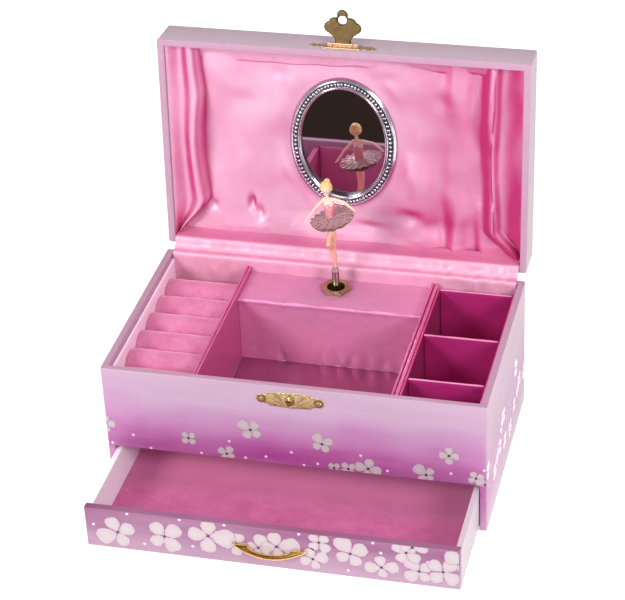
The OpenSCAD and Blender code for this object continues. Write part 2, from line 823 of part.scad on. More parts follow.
module dancer_tutu() {
  color("rosybrown") at_figure() translate([-0.8, 0, waist_z]) rotate([0, -12, 0])
    rotate_extrude() polygon([[3.7, -0.8], [3.7, 0.4], [13.2, -1.2], [13.2, -2.6]]);
}

module dancer_hair() {
  color("khaki") at_figure() translate(head + [0, 1, 4.6]) sphere(r = 1.1, $fn = 24);
}

case_front_fascia();
case_back();
case_left_side();
case_right_side();
case_base();
mid_deck();
floor_pads();
tray_divider_cards();
stage_top_card();
stage_front_card();
right_insert_cards();
right_cross_dividers();
left_side_card();
ring_cushion_base();
ring_rolls();
spindle_ferrule();
latch_plate();
case_brass_nails();
hinge_case_leaves();
hinge_pins();
movement_bedplate();
axle_brackets();
spindle_bracket();
comb_block();
music_comb();
movement_screws();
lid_panel();
lid_front_rail();
lid_back_rail();
lid_side_rails();
lid_lining();
lid_edge_padding();
hinge_flap();
mirror_frame();
mirror_glass();
hinge_lid_leaves();
lid_brass_nails();
hasp_plate();
hasp_pin();
hasp_leaf();
drawer_front();
drawer_walls();
drawer_bottom();
drawer_felt();
drawer_pull();
drawer_pull_nails();
music_cylinder();
cylinder_axle();
cylinder_gears();
spring_barrel();
mainspring();
spindle();
crown_wheel();
governor_fan();
winding_arbor();
winding_key();
dancer_spring();
dancer_figure();
dancer_tutu();
dancer_hair();
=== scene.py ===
# Musical jewellery box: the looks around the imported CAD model, in millimetres unless said otherwise.
import json
import math
import bmesh
import bpy
import numpy as np
from mathutils import Matrix, Vector, noise


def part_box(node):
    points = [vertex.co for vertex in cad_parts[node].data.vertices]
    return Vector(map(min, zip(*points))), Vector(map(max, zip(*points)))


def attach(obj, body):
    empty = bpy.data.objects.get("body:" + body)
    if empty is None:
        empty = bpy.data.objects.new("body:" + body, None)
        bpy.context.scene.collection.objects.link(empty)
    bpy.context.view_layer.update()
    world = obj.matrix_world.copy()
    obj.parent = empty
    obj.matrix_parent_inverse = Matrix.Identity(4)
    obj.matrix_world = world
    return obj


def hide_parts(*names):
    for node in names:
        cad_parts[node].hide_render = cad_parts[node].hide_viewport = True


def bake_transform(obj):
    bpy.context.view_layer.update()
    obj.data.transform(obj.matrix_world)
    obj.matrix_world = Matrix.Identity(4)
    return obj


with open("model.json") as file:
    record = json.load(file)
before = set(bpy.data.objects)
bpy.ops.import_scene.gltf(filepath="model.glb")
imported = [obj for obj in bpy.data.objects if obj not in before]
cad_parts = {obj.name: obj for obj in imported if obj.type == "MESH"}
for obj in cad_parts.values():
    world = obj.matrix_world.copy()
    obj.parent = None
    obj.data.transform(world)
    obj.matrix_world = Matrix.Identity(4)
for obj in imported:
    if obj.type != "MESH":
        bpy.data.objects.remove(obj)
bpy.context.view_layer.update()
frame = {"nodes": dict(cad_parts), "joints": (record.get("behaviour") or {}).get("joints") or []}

MM = 0.001


# ---------- Sizes read from the frame ----------

def box_mm(node):
    low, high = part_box(node)
    return [v / MM for v in low], [v / MM for v in high]


left_low, left_high = box_mm("case_left_side")
HALF_W = -left_low[0]
HALF_D = -left_low[1]
CASE_H = left_high[2]
WALL = left_high[0] - left_low[0]
OPENING_TOP = box_mm("case_front_fascia")[0][2]
IN_X = HALF_W - WALL
IN_Y = HALF_D - WALL
hinge = next(j for j in frame["joints"] if j["name"] == "lid_hinge")
HINGE_Y = hinge["pos_m"][1] / MM
LID_OPEN = math.radians(-hinge["range_deg"][0])
LID_T = 23.0
LID_D = 2 * HALF_D
stage_low, stage_high = box_mm("stage_top_card")
front_low, front_high = box_mm("drawer_front")
SPINDLE_X, SPINDLE_Y = [sum(corner[k] for corner in box_mm("spindle")) / 2 for k in (0, 1)]


def lid_point(x, u, v):
    """A point of the open lid: u runs from the hinge side to the front edge, v from the rim inwards."""
    y, z = HALF_D - u - HINGE_Y, v
    c, s = math.cos(-LID_OPEN), math.sin(-LID_OPEN)
    return (x, HINGE_Y + y * c - z * s, CASE_H + y * s + z * c)


def lid_local(point):
    """The inverse of lid_point for a point in mm."""
    y, z = point[1] - HINGE_Y, point[2] - CASE_H
    c, s = math.cos(LID_OPEN), math.sin(LID_OPEN)
    return point[0], HALF_D - HINGE_Y - (y * c - z * s), y * s + z * c


def lid_box(node):
    """Lowest and highest (x, u, v) of a lid node."""
    points = [lid_local([c / MM for c in v.co]) for v in frame["nodes"][node].data.vertices]
    return [min(p[i] for p in points) for i in range(3)], [max(p[i] for p in points) for i in range(3)]


mirror_low, mirror_high = lid_box("mirror_frame")
MIRROR_X, MIRROR_U = [(mirror_low[k] + mirror_high[k]) / 2 for k in (0, 1)]
MIRROR_A, MIRROR_B = [(mirror_high[k] - mirror_low[k]) / 2 for k in (0, 1)]


# ---------- Materials ----------

def srgb(r, g, b):
    """Linear colour from 0-255 screen values."""
    shares = [c / 255 for c in (r, g, b)]
    return tuple(((c + 0.055) / 1.055) ** 2.4 if c > 10 / 255 else c / 12.92 for c in shares) + (1.0,)


class Surface:
    """A node material being built: add() makes a node and returns it, the rest are short forms of it."""

    def __init__(self, name, colour, rough, **sockets):
        self.mat = bpy.data.materials.new(name)
        self.mat.use_nodes = True
        self.tree = self.mat.node_tree
        self.shader = self.tree.nodes["Principled BSDF"]
        self.shader.inputs["Base Color"].default_value = colour
        self.shader.inputs["Roughness"].default_value = rough
        for key, value in sockets.items():
            self.shader.inputs[key.replace("_", " ")].default_value = value
        self.height = None
        self.where = self.add("ShaderNodeTexCoord").outputs["Object"]

    def add(self, kind, inputs=None, **settings):
        node = self.tree.nodes.new(kind)
        for key, value in settings.items():
            setattr(node, key, value)
        for key, value in (inputs or {}).items():
            if isinstance(value, bpy.types.NodeSocket):
                self.tree.links.new(value, node.inputs[key])
            else:
                node.inputs[key].default_value = value
        return node

    def scaled(self, sx, sy, sz):
        return self.add("ShaderNodeMapping", {"Vector": self.where, "Scale": (sx, sy, sz)}).outputs[0]

    def noise(self, scale, detail=3, rough=0.5, where=None):
        inputs = {"Vector": where or self.where, "Scale": scale, "Detail": detail, "Roughness": rough}
        return self.add("ShaderNodeTexNoise", inputs).outputs["Fac"]

    def axis(self, name):
        return self.add("ShaderNodeSeparateXYZ", {0: self.where}).outputs[name]

    def maths(self, operation, a, b=0.0, clamp=False):
        return self.add("ShaderNodeMath", {0: a, 1: b}, operation=operation, use_clamp=clamp).outputs[0]

    def spread(self, value, low, high, to_low=0.0, to_high=1.0):
        inputs = {"Value": value, "From Min": low, "From Max": high, "To Min": to_low, "To Max": to_high}
        return self.add("ShaderNodeMapRange", inputs, clamp=True).outputs[0]

    def ramp(self, value, stops):
        node = self.add("ShaderNodeValToRGB", {"Fac": value})
        band = node.color_ramp
        while len(band.elements) < len(stops):
            band.elements.new(0.5)
        for element, (at, colour) in zip(band.elements, stops):
            element.position = at
            element.color = srgb(*colour)
        return node.outputs["Color"]

    def mix(self, amount, a, b):
        return self.add("ShaderNodeMix", {0: amount, 6: a, 7: b}, data_type="RGBA").outputs[2]

    def toned(self, scale, amount, detail=3):
        """The tone attribute, made a little patchy."""
        tone = self.add("ShaderNodeAttribute", attribute_name="tone").outputs["Fac"]
        patches = self.spread(self.noise(scale, detail), 0.3, 0.7, -amount, amount)
        return self.maths("ADD", tone, patches, True)

    def colour(self, socket):
        self.tree.links.new(socket, self.shader.inputs["Base Color"])

    def rough(self, socket):
        self.tree.links.new(socket, self.shader.inputs["Roughness"])

    def bump(self, height, distance):
        """distance is the height in metres that a change of 1 in the texture stands for."""
        inputs = {"Height": height, "Distance": distance, "Strength": 1.0}
        if self.height:
            inputs["Normal"] = self.height
        self.height = self.add("ShaderNodeBump", inputs).outputs[0]
        self.tree.links.new(self.height, self.shader.inputs["Normal"])


def weave(s, pitch, depth):
    """Fine threads both ways, at a pitch in mm, over the piece's own coordinates."""
    scale = 1 / (pitch * MM)
    threads = s.noise(1.0, 1, 0.4, s.scaled(scale * 0.12, scale * 0.12, scale))
    cross = s.noise(1.0, 1, 0.4, s.scaled(scale, scale * 0.12, scale * 0.12))
    s.bump(s.maths("ADD", threads, cross), depth * MM)


def satin(name, light, dark, rough=0.34, metal_share=0.45, painted_shade_right=0.0):
    s = Surface(name, light, rough, Metallic=metal_share, Sheen_Weight=0.1, Sheen_Roughness=0.4)
    s.shader.inputs["Sheen Tint"].default_value = srgb(255, 190, 225)
    # Painted sheen and shade: the colour runs from the light tint where the cloth faces the camera to the
    # dark tint where it is seen edge-on.
    facing = s.add("ShaderNodeLayerWeight", {"Blend": 0.5}).outputs["Facing"]
    mottle = s.noise(30, 4, 0.55)
    tone = s.maths("ADD", s.spread(facing, 0.08, 0.66), s.spread(mottle, 0.3, 0.7, -0.16, 0.16), True)
    # Painted shade: the colour deepens towards the right of the lining, standing in for the shade of its
    # folds there.
    if painted_shade_right:
        tone = s.maths("ADD", tone, s.spread(s.axis("X"), 0.02, 0.055, 0.0, painted_shade_right), True)
    s.colour(s.mix(tone, light, dark))
    weave(s, 0.35, 0.012)
    s.bump(s.noise(120, 3, 0.6), 0.0004)
    return s.mat


def paper_grain(s):
    s.bump(s.noise(900, 4, 0.6), 0.02 * MM)
    s.bump(s.noise(60, 3, 0.5), 0.05 * MM)


def printed_paper(name, stops, low, high):
    """Paper with a printed wash that runs up the piece, from height low to height high in mm."""
    s = Surface(name, srgb(*stops[0][1]), 0.42, Coat_Weight=0.25, Coat_Roughness=0.22)
    cloud = s.noise(26, 4, 0.55)
    streak = s.noise(1.0, 3, 0.5, s.scaled(9, 9, 70))
    height = s.spread(s.axis("Z"), low * MM, high * MM)
    height = s.maths("ADD", height, s.spread(cloud, 0.3, 0.7, -0.06, 0.06), True)
    wash = s.ramp(height, stops)
    s.colour(s.mix(s.spread(streak, 0.35, 0.75, 0.0, 0.16), wash, srgb(236, 208, 232)))
    paper_grain(s)
    return s.mat


def plain_paper(name, colour, tint, rough=0.5, right=None):
    s = Surface(name, colour, rough, Coat_Weight=0.12, Coat_Roughness=0.3)
    fibres = s.noise(1.0, 4, 0.6, s.scaled(300, 120, 300))
    shade_of = s.mix(s.spread(s.maths("ADD", s.noise(20, 4), fibres), 0.7, 1.3, 0.0, 0.5), colour, tint)
    # Painted shade: with a right colour given, the paper darkens from left to right across the box.
    s.colour(s.mix(s.spread(s.axis("X"), -0.09, 0.09), shade_of, right) if right else shade_of)
    paper_grain(s)
    return s.mat


def metal(name, colour, stain, rough, grain=500, depth=0.012):
    s = Surface(name, colour, rough, Metallic=1.0)
    tarnish = s.noise(120, 5, 0.65)
    s.colour(s.mix(s.spread(tarnish, 0.42, 0.72, 0.0, 0.5), colour, stain))
    s.rough(s.spread(s.noise(260, 4, 0.6), 0.3, 0.75, rough * 0.75, rough * 1.5))
    s.bump(s.noise(grain, 3, 0.6), depth * MM)
    return s.mat


def fuzz(name, light, dark, rough, scale, depth, sheen=1.0, painted_light_colour=None):
    s = Surface(name, light, rough, Sheen_Weight=sheen, Sheen_Roughness=0.45, Specular_IOR_Level=0.15)
    s.shader.inputs["Sheen Tint"].default_value = srgb(255, 190, 220)
    pile = s.noise(scale, 5, 0.7)
    patch = s.noise(scale * 0.06, 4, 0.6)
    nap = s.mix(s.spread(s.maths("ADD", pile, patch), 0.75, 1.3), dark, light)
    # Painted light: the far part of the pile, which lies in the case's shade, is painted paler with the last
    # colour.
    s.colour(s.mix(s.spread(s.axis("Y"), -0.076, -0.04), nap, painted_light_colour) if painted_light_colour else nap)
    s.bump(pile, depth * MM)
    return s.mat


def blossom_surface(name, *tints):
    """Petals with a small dark eye. The tone attribute runs from 0 at their centre to 1 at the rim."""
    petal, middle, rim = tints
    s = Surface(name, srgb(*petal), 0.42, Coat_Weight=0.15, Coat_Roughness=0.25)
    stops = [(0.0, (60, 26, 66)), (0.06, (90, 50, 86)), (0.14, petal), (0.7, middle), (0.88, middle),
             (1.0, rim)]
    s.colour(s.ramp(s.toned(500, 0.08), stops))
    paper_grain(s)
    return s.mat


def dot_surface(name):
    s = Surface(name, srgb(240, 210, 230), 0.38, Coat_Weight=0.3, Coat_Roughness=0.2)
    stops = [(0.0, (250, 236, 246)), (0.5, (240, 196, 226)), (1.0, (206, 140, 190))]
    s.colour(s.ramp(s.toned(700, 0.06, 2), stops))
    paper_grain(s)
    return s.mat


def skin_surface(name):
    s = Surface(name, srgb(240, 190, 160), 0.4, Subsurface_Weight=0.12, Coat_Weight=0.15)
    s.shader.inputs["Subsurface Radius"].default_value = (0.002, 0.0008, 0.0005)
    stops = [(0.0, (240, 186, 158)), (0.4, (244, 204, 180)), (0.56, (246, 214, 194)), (0.62, (228, 152, 162)),
             (0.7, (222, 136, 150)), (0.84, (196, 90, 118)), (1.0, (60, 30, 30))]
    s.colour(s.ramp(s.toned(400, 0.06), stops))
    s.bump(s.noise(700, 3), 0.01 * MM)
    return s.mat


def tulle_surface(name):
    s = Surface(name, srgb(176, 150, 160), 0.45, Sheen_Weight=0.5, Alpha=1.0)
    glitter = s.add("ShaderNodeTexVoronoi", {"Vector": s.where, "Scale": 1500.0}).outputs["Color"]
    spark = s.maths("GREATER_THAN", s.add("ShaderNodeSeparateColor", {0: glitter}).outputs[0], 0.86)
    net = s.noise(1400, 2)
    s.colour(s.mix(s.spread(net, 0.35, 0.65), srgb(134, 84, 88), srgb(180, 130, 134)))
    s.tree.links.new(s.maths("MULTIPLY", spark, 0.9), s.shader.inputs["Metallic"])
    s.rough(s.spread(spark, 0, 1, 0.6, 0.2))
    s.bump(net, 0.04 * MM)
    return s.mat


def hair_surface(name):
    s = Surface(name, srgb(226, 190, 116), 0.4, Coat_Weight=0.2)
    strands = s.noise(1.0, 2, 0.5, s.scaled(2500, 2500, 500))
    s.colour(s.mix(s.spread(strands, 0.35, 0.65), srgb(206, 160, 78), srgb(244, 218, 150)))
    s.bump(strands, 0.06 * MM)
    return s.mat


def clear_pink_surface(name):
    s = Surface(name, srgb(236, 196, 206), 0.15, Transmission_Weight=0.6, IOR=1.45)
    s.bump(s.noise(500, 3), 0.01 * MM)
    return s.mat


def patina_and_shade_brass_surface(name, bright, dark, rough):
    """Brass that is bright on rims and high spots and dark where it is dished, as the tone attribute says;
    that tone is patina, and on some plates painted shade and light.
    """
    s = Surface(name, bright, rough, Metallic=0.9)
    tone = s.toned(450, 0.1)
    s.colour(s.mix(tone, bright, dark))
    s.rough(s.spread(tone, 0, 1, rough * 0.8, rough * 1.5))
    s.bump(s.noise(500, 4, 0.6), 0.02 * MM)
    return s.mat


MATERIALS = {}


def make(kind, *rows):
    """Makes a material per row: its name, then kind's settings. Tuples are colours in 0-255 screen values."""
    for name, *settings in rows:
        settings = [srgb(*value) if isinstance(value, tuple) else value for value in settings]
        MATERIALS[name] = kind(name, *settings)


FRONT_STOPS = [(0.0, (190, 134, 172)), (0.3, (178, 100, 158)), (0.39, (160, 62, 140)), (0.5, (172, 84, 152)),
               (0.66, (184, 124, 172)), (0.82, (184, 148, 178)), (1.0, (180, 148, 170))]
DRAWER_STOPS = [(0.0, (162, 128, 148)), (0.35, (150, 104, 136)), (0.75, (136, 74, 116)),
                (0.97, (130, 58, 106)), (1.0, (132, 58, 102))]
SIDE_STOPS = [(0.0, (190, 162, 178)), (0.2, (180, 130, 164)), (0.42, (170, 110, 154)), (0.7, (182, 144, 166)),
              (1.0, (188, 152, 170))]
make(printed_paper, ("front_print", FRONT_STOPS, 0, CASE_H), ("side_print", SIDE_STOPS, 0, CASE_H),
     ("drawer_print", DRAWER_STOPS, front_low[2], front_high[2]))
# drawer_paper's last colour is painted shade, darker towards the right of the box.
make(plain_paper, ("edge_paper", (190, 148, 172), (174, 130, 158)),
     ("lid_paper", (188, 166, 180), (174, 150, 168)),
     ("lid_side_paper", (196, 172, 184), (182, 158, 172)),
     ("drawer_paper", (255, 246, 252), (246, 234, 242), 0.5, (204, 188, 196)))
# The lining satin's last setting paints shade that deepens towards its right.
make(satin, ("satin", (240, 180, 209), (204, 58, 130), 0.44, 0.3, 0.34),
     ("stage_satin", (240, 148, 198), (198, 142, 174), 0.38, 0.3),
     ("divider_satin", (236, 150, 196), (206, 88, 144), 0.36, 0.3),
     ("flap_satin", (236, 174, 200), (212, 112, 156), 0.46, 0.15),
     ("pale_satin", (255, 242, 250), (252, 226, 240), 0.45, 0.0),
     ("deep_satin", (220, 60, 150), (156, 10, 94), 0.28, 0.45),
     ("floor_satin", (176, 96, 136), (140, 54, 96), 0.3, 0.35))
# The felt's last colour is painted light, paling its far part that lies in the case's shade.
make(fuzz, ("plush", (220, 142, 174), (196, 102, 144), 0.9, 1400, 0.10),
     ("felt", (212, 116, 162), (184, 86, 136), 0.95, 1100, 0.09, 0.5, (222, 132, 176)))
make(metal, ("brass", (212, 178, 122), (150, 112, 66), 0.27),
     ("nut_brass", (190, 180, 128), (132, 118, 78), 0.3),
     ("spring_steel", (176, 170, 158), (120, 112, 100), 0.12, 900, 0.002),
     ("movement_brass", (206, 172, 110), (150, 116, 62), 0.34, 900),
     ("steel", (206, 206, 210), (160, 160, 166), 0.16, 900, 0.004),
     ("silver", (226, 224, 230), (176, 170, 182), 0.16, 700, 0.006),
     ("silver_groove", (96, 84, 96), (52, 44, 54), 0.4, 700))
make(patina_and_shade_brass_surface, ("antique_brass", (246, 216, 160), (174, 138, 84), 0.27),
     ("dark_bronze", (224, 190, 130), (76, 56, 26), 0.36),
     ("pull_brass", (246, 208, 132), (122, 80, 26), 0.28),
     ("rose_brass", (244, 204, 172), (120, 80, 56), 0.28))
MATERIALS["mirror"] = Surface("mirror", srgb(216, 210, 216), 0.02, Metallic=1.0).mat
for name, *tints in (("blossom_print", (190, 182, 178), (188, 170, 178), (156, 98, 136)),
                     ("pale_blossom_print", (248, 242, 236), (246, 234, 240), (196, 140, 176))):
    MATERIALS[name] = blossom_surface(name, *tints)
make(dot_surface, ("dot_print",))
make(skin_surface, ("skin",))
make(tulle_surface, ("tulle",))
make(hair_surface, ("hair",))
make(clear_pink_surface, ("clear_pink",))


# ---------- Building meshes: sizes in mm, turned to metres as each piece is made ----------

def same(*point):
    return point


def piece(name, verts, faces, mat, body=None, slot=None, replaces=(), place=same, sharp=40, attribute=None):
    mesh = bpy.data.meshes.new(name)
    mesh.from_pydata([[c * MM for c in place(*v)] for v in verts], [], faces)
    if attribute is not None:
        layer = mesh.attributes.new("tone", "FLOAT", "POINT")
        layer.data.foreach_set("value", attribute)
    bm = bmesh.new()
    bm.from_mesh(mesh)
    bmesh.ops.recalc_face_normals(bm, faces=bm.faces)
    bm.to_mesh(mesh)
    bm.free()
    obj = bpy.data.objects.new(name, mesh)
    bpy.context.scene.collection.objects.link(obj)
    mesh.materials.append(MATERIALS[mat])
    shade(obj, sharp)
    if body:
        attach(obj, body)
    if replaces:
        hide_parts(*replaces)
    return obj


def shade(obj, sharp=40):
    obj.data.polygons.foreach_set("use_smooth", [True] * len(obj.data.polygons))
    obj.data.set_sharp_from_angle(angle=math.radians(sharp))


def bake(obj, sharp=40):
    """Applies the object's modifiers to its mesh."""
    graph = bpy.context.evaluated_depsgraph_get()
    mesh = bpy.data.meshes.new_from_object(obj.evaluated_get(graph))
    obj.modifiers.clear()
    obj.data = mesh
    shade(obj, sharp)
    return obj


def modify(obj, kind, **settings):
    modifier = obj.modifiers.new(kind.lower(), kind)
    for key, value in settings.items():
        setattr(modifier, key, value)
    return modifier


def wobble(x, y, z, size, seed=0.0):
    """Smooth noise from -1 to 1 over features of about size mm."""
    return noise.noise(Vector((x / size + seed, y / size + seed * 1.7, z / size - seed)))


def smooth_step(a, b, x):
    t = min(max((x - a) / (b - a), 0.0), 1.0)
    return t * t * (3 - 2 * t)


def bump_at(x, centre, width):
    return math.exp(-((x - centre) / width) ** 2)


def steps(a, b, cell):
    n = max(1, round((b - a) / cell))
    return [a + (b - a) * i / n for i in range(n + 1)]


def closed_grid(nu, nv, top, bottom):
    """Closed sheet from a top and a bottom function of grid place (i, j)."""
    verts = [top(i, j) for i in range(nu) for j in range(nv)]
    verts += [bottom(i, j) for i in range(nu) for j in range(nv)]
    faces = []
    n = nu * nv
    for i in range(nu - 1):
        for j in range(nv - 1):
            a, b, c, d = i * nv + j, (i + 1) * nv + j, (i + 1) * nv + j + 1, i * nv + j + 1
            faces += [(a, b, c, d), (n + d, n + c, n + b, n + a)]
    border = [(i, 0) for i in range(nu)] + [(nu - 1, j) for j in range(1, nv)]
    border += [(i, nv - 1) for i in range(nu - 2, -1, -1)] + [(0, j) for j in range(nv - 2, 0, -1)]
    for (i, j), (k, m) in zip(border, border[1:] + border[:1]):
        a, b = i * nv + j, k * nv + m
        faces.append((b, a, n + a, n + b))
    return verts, faces


def closed_patch(top, faces, back):
    """Closes a patch of faces with walls down its outline and a flat back."""
    n = len(top)
    edges = {(a, b) for f in faces for a, b in zip(f, f[1:] + f[:1])}
    walls = [(a + n, b + n, b, a) for a, b in edges if (b, a) not in edges]
    under = [[i + n for i in f[::-1]] for f in faces]
    return top + [(x, y, back) for x, y, z in top], faces + under + walls


def height_field(low, high, cells, height, bottom):
    """Closed sheet over a rectangle: height(x, y) is its top, and its bottom is flat."""
    xs, ys = [steps(low[k], high[k], cells[k]) for k in (0, 1)]
    return closed_grid(len(xs), len(ys), lambda i, j: (xs[i], ys[j], height(xs[i], ys[j])),
                       lambda i, j: (xs[i], ys[j], bottom))


def rounded_block(low, high, r, cell, puff=None):
    """Box with rounded edges, its faces cut into cells. puff(x, y, z, nx, ny, nz) gives an outward move."""
    lines = []
    for a, b in zip(low, high):
        edge = [0, 0.12 * r, 0.4 * r, r]
        inner = steps(a + r, b - r, cell) if b - a > 2 * r + 0.01 else [(a + b) / 2]
        lines.append([a + e for e in edge[:3]] + inner + [b - e for e in edge[2::-1]])
    index, verts, faces = {}, [], []
    for axis in range(3):
        u, v = (axis + 1) % 3, (axis + 2) % 3
        for side in (0, len(lines[axis]) - 1):
            for i in range(len(lines[u]) - 1):
                for j in range(len(lines[v]) - 1):
                    face = []
                    for di, dj in ((0, 0), (1, 0), (1, 1), (0, 1)):
                        key = [0, 0, 0]
                        key[axis], key[u], key[v] = side, i + di, j + dj
                        key = tuple(key)
                        if key not in index:
                            index[key] = len(verts)
                            p = [lines[a][key[a]] for a in range(3)]
                            q = [min(max(p[a], low[a] + r), high[a] - r) for a in range(3)]
                            normal = Vector([p[a] - q[a] for a in range(3)]).normalized()
                            move = puff(*q, *normal) if puff else 0
                            verts.append([q[a] + normal[a] * (r + move) for a in range(3)])
                        face.append(index[key])
                    faces.append(face)
    return verts, faces


def joined(parts):
    """Several (verts, faces) as one."""
    verts, faces = [], []
    for v, f in parts:
        faces += [[i + len(verts) for i in face] for face in f]
        verts += v
    return verts, faces


def ring_loft(rings, close=False):
    """Skin over loops of the same number of points."""
    n = len(rings[0])
    verts = [p for ring in rings for p in ring]
    faces = []
    last = len(rings) if close else len(rings) - 1
    for i in range(last):
        for j in range(n):
            a, b = i * n, (i + 1) % len(rings) * n
            faces.append((a + j, a + (j + 1) % n, b + (j + 1) % n, b + j))
    if not close:
        faces += [tuple(range(n))[::-1], tuple(range(len(verts) - n, len(verts)))]
    return verts, faces


def oval(a, b, n, x=0.0, y=0.0):
    """Loop of n points on an ellipse round (x, y)."""
    return [(x + a * math.cos(2 * math.pi * k / n), y + b * math.sin(2 * math.pi * k / n)) for k in range(n)]


def islands(node):
    """Lowest and highest corner in mm of each separate solid of a CAD node."""
    mesh = frame["nodes"][node].data
    count = len(mesh.vertices)
    co = np.empty(count * 3)
    mesh.vertices.foreach_get("co", co)
    co = co.reshape(-1, 3) / MM
    keys = {}
    root = list(range(count))

    def find(i):
        while root[i] != i:
            root[i] = root[root[i]]
            i = root[i]
        return i

    for i, c in enumerate(co):
        j = keys.setdefault(tuple(np.round(c, 3)), i)
        root[find(i)] = find(j)
    for e in mesh.edges:
        root[find(e.vertices[0])] = find(e.vertices[1])
    groups = {}
    for i in range(count):
        groups.setdefault(find(i), []).append(i)
    boxes = [(co[g].min(axis=0).tolist(), co[g].max(axis=0).tolist()) for g in groups.values()]
    return sorted(boxes)


# ---------- Case and lid boards ----------

def rounded_rectangle(half_x, low_y, high_y, r, n=6):
    points = []
    corners = ((half_x - r, high_y - r, 0), (-half_x + r, high_y - r, 90), (-half_x + r, low_y + r, 180),
               (half_x - r, low_y + r, 270))
    for cx, cy, start in corners:
        for k in range(n + 1):
            a = math.radians(start + 90 * k / n)
            points.append((cx + r * math.cos(a), cy + r * math.sin(a)))
    return points


def prism(outline, low, high):
    return ring_loft([[(x, y, z) for x, y in outline] for z in (low, high)])


def plain_box(low, high):
    outline = [(high[0], high[1]), (low[0], high[1]), (low[0], low[1]), (high[0], low[1])]
    return prism(outline, low[2], high[2])


def cut(obj, shapes, place=same, bevel=0.45, sharp=35):
    """Cuts closed shapes out of the object, then rounds its edges where bevel is above 0."""
    cutters = []
    for verts, faces in shapes:
        cutter = piece("cutter", verts, faces, "edge_paper", place=place)
        modify(obj, "BOOLEAN", operation="DIFFERENCE", solver="EXACT", object=cutter)
        cutters.append(cutter)
    if bevel:
        modify(obj, "BEVEL", width=bevel * MM, segments=3, limit_method="ANGLE", angle_limit=math.radians(50))
    bake(obj, sharp)
    for cutter in cutters:
        bpy.data.objects.remove(cutter)


def paint_faces(obj, materials, choose):
    """Gives each face one of the named materials by its centre and normal, in mm."""
    obj.data.materials.clear()
    for m in materials:
        obj.data.materials.append(MATERIALS[m])
    for p in obj.data.polygons:
        p.material_index = materials.index(choose(Vector(p.center) / MM, p.normal))


def case_shell():
    outline = rounded_rectangle(HALF_W, -HALF_D, HALF_D, 1.3)
    verts, faces = prism(outline, 0, CASE_H - 0.06)
    nodes = ["case_front_fascia", "case_back", "case_left_side", "case_right_side"]
    obj = piece("case_shell", verts, faces, "side_print", "case", "case_paper", nodes)
    low, high = box_mm("winding_arbor")
    key_x, key_z = (low[0] + high[0]) / 2, (low[2] + high[2]) / 2
    hole = [[(x, y, z) for x, z in oval(3.6, 3.6, 32, key_x, key_z)] for y in (IN_Y - 2, HALF_D + 3)]
    opening = plain_box((-IN_X, -HALF_D - 3, -1), (IN_X, -IN_Y + 3, OPENING_TOP))
    cut(obj, [plain_box((-IN_X, -IN_Y, -1), (IN_X, IN_Y, CASE_H + 1)), opening, ring_loft(hole)])

    def choose(c, n):
        if abs(c.x) < HALF_W - 1.4 and c.y < -HALF_D + 0.6 and c.z > OPENING_TOP + 0.5:
            return "front_print"
        if c.y < -HALF_D + 0.9 and -n.y > 0.7:
            return "front_print"
        if abs(c.x) > HALF_W - 1.0 or abs(c.y) > HALF_D - 1.0:
            return "edge_paper" if abs(n.z) > 0.7 else "side_print"
        return "edge_paper"

    paint_faces(obj, ["side_print", "front_print", "edge_paper"], choose)


def lid_shell():
    outline = rounded_rectangle(HALF_W, 0, LID_D, 1.3)
    verts, faces = prism(outline, 0, LID_T)
    nodes = ["lid_panel", "lid_front_rail", "lid_back_rail", "lid_side_rails"]
    obj = piece("lid_shell", verts, faces, "lid_side_paper", "lid", "lid_paper", nodes, place=lid_point)
    cavity = plain_box((-IN_X, WALL, -1), (IN_X, LID_D - WALL, LID_T - WALL))
    cut(obj, [cavity], lid_point)
    out = Vector(lid_point(0, 0, 1)) - Vector(lid_point(0, 0, 0))

    def choose(c, n):
        if n.dot(out) > 0.9:
            return "lid_paper"
        return "edge_paper" if n.dot(out) < -0.5 or abs(n.x) < 0.3 and n.z < -0.3 else "lid_side_paper"

    paint_faces(obj, ["lid_side_paper", "lid_paper", "edge_paper"], choose)


# ---------- Printed blossoms and dots ----------

def petal(length, width):
    """Rings of one petal that points along +X, rim first, as (x, y, tone)."""
    rim = []
    for k in range(11):
        s = k / 10
        half = width / 2 * math.sin(math.pi * min(s, 0.999) ** 1.35) ** 0.55 if 0 < s < 1 else 0
        rim.append((length * (0.03 + 0.97 * s) * (1 - 0.05 * (k == 10)), half))
    rim += [(x, -h) for x, h in rim[-2:0:-1]]
    rings = []
    for scale in (1.0, 0.86, 0.5):
        middle = length * (0.5 * (1 - scale))
        rings.append([(middle * 1.15 + x * scale, y * scale, scale) for x, y in rim])
    return rings


def clip(polygon, limits):
    """Keeps the part of a polygon of (x, y, tone) inside limits (x0, x1, y0, y1)."""
    for axis, bound, sign in ((0, limits[0], 1), (0, limits[1], -1), (1, limits[2], 1), (1, limits[3], -1)):
        result = []
        for a, b in zip(polygon, polygon[1:] + polygon[:1]):
            da, db = sign * (a[axis] - bound), sign * (b[axis] - bound)
            if da >= 0:
                result.append(a)
            if da * db < 0:
                t = da / (da - db)
                result.append(tuple(p + (q - p) * t for p, q in zip(a, b)))
        polygon = result
    return polygon


def decal(cells, limits, lift, sink=0.25):
    """Closed thin shape from small polygons (x, y, tone): top at height lift, bottom at -sink."""
    index, top, faces = {}, [], []
    for cell in cells:
        face = []
        for x, y, t in clip(cell, limits):
            key = (round(x, 4), round(y, 4))
            if key not in index:
                index[key] = len(top)
                top.append((x, y, t))
            if not face or face[-1] != index[key]:
                face.append(index[key])
        if len(face) > 1 and face[0] == face[-1]:
            face.pop()
        if len(set(face)) > 2:
            faces.append(face)
    verts, faces = closed_patch([(x, y, lift) for x, y, t in top], faces, -sink)
    return verts, faces, [t for x, y, t in top] * 2


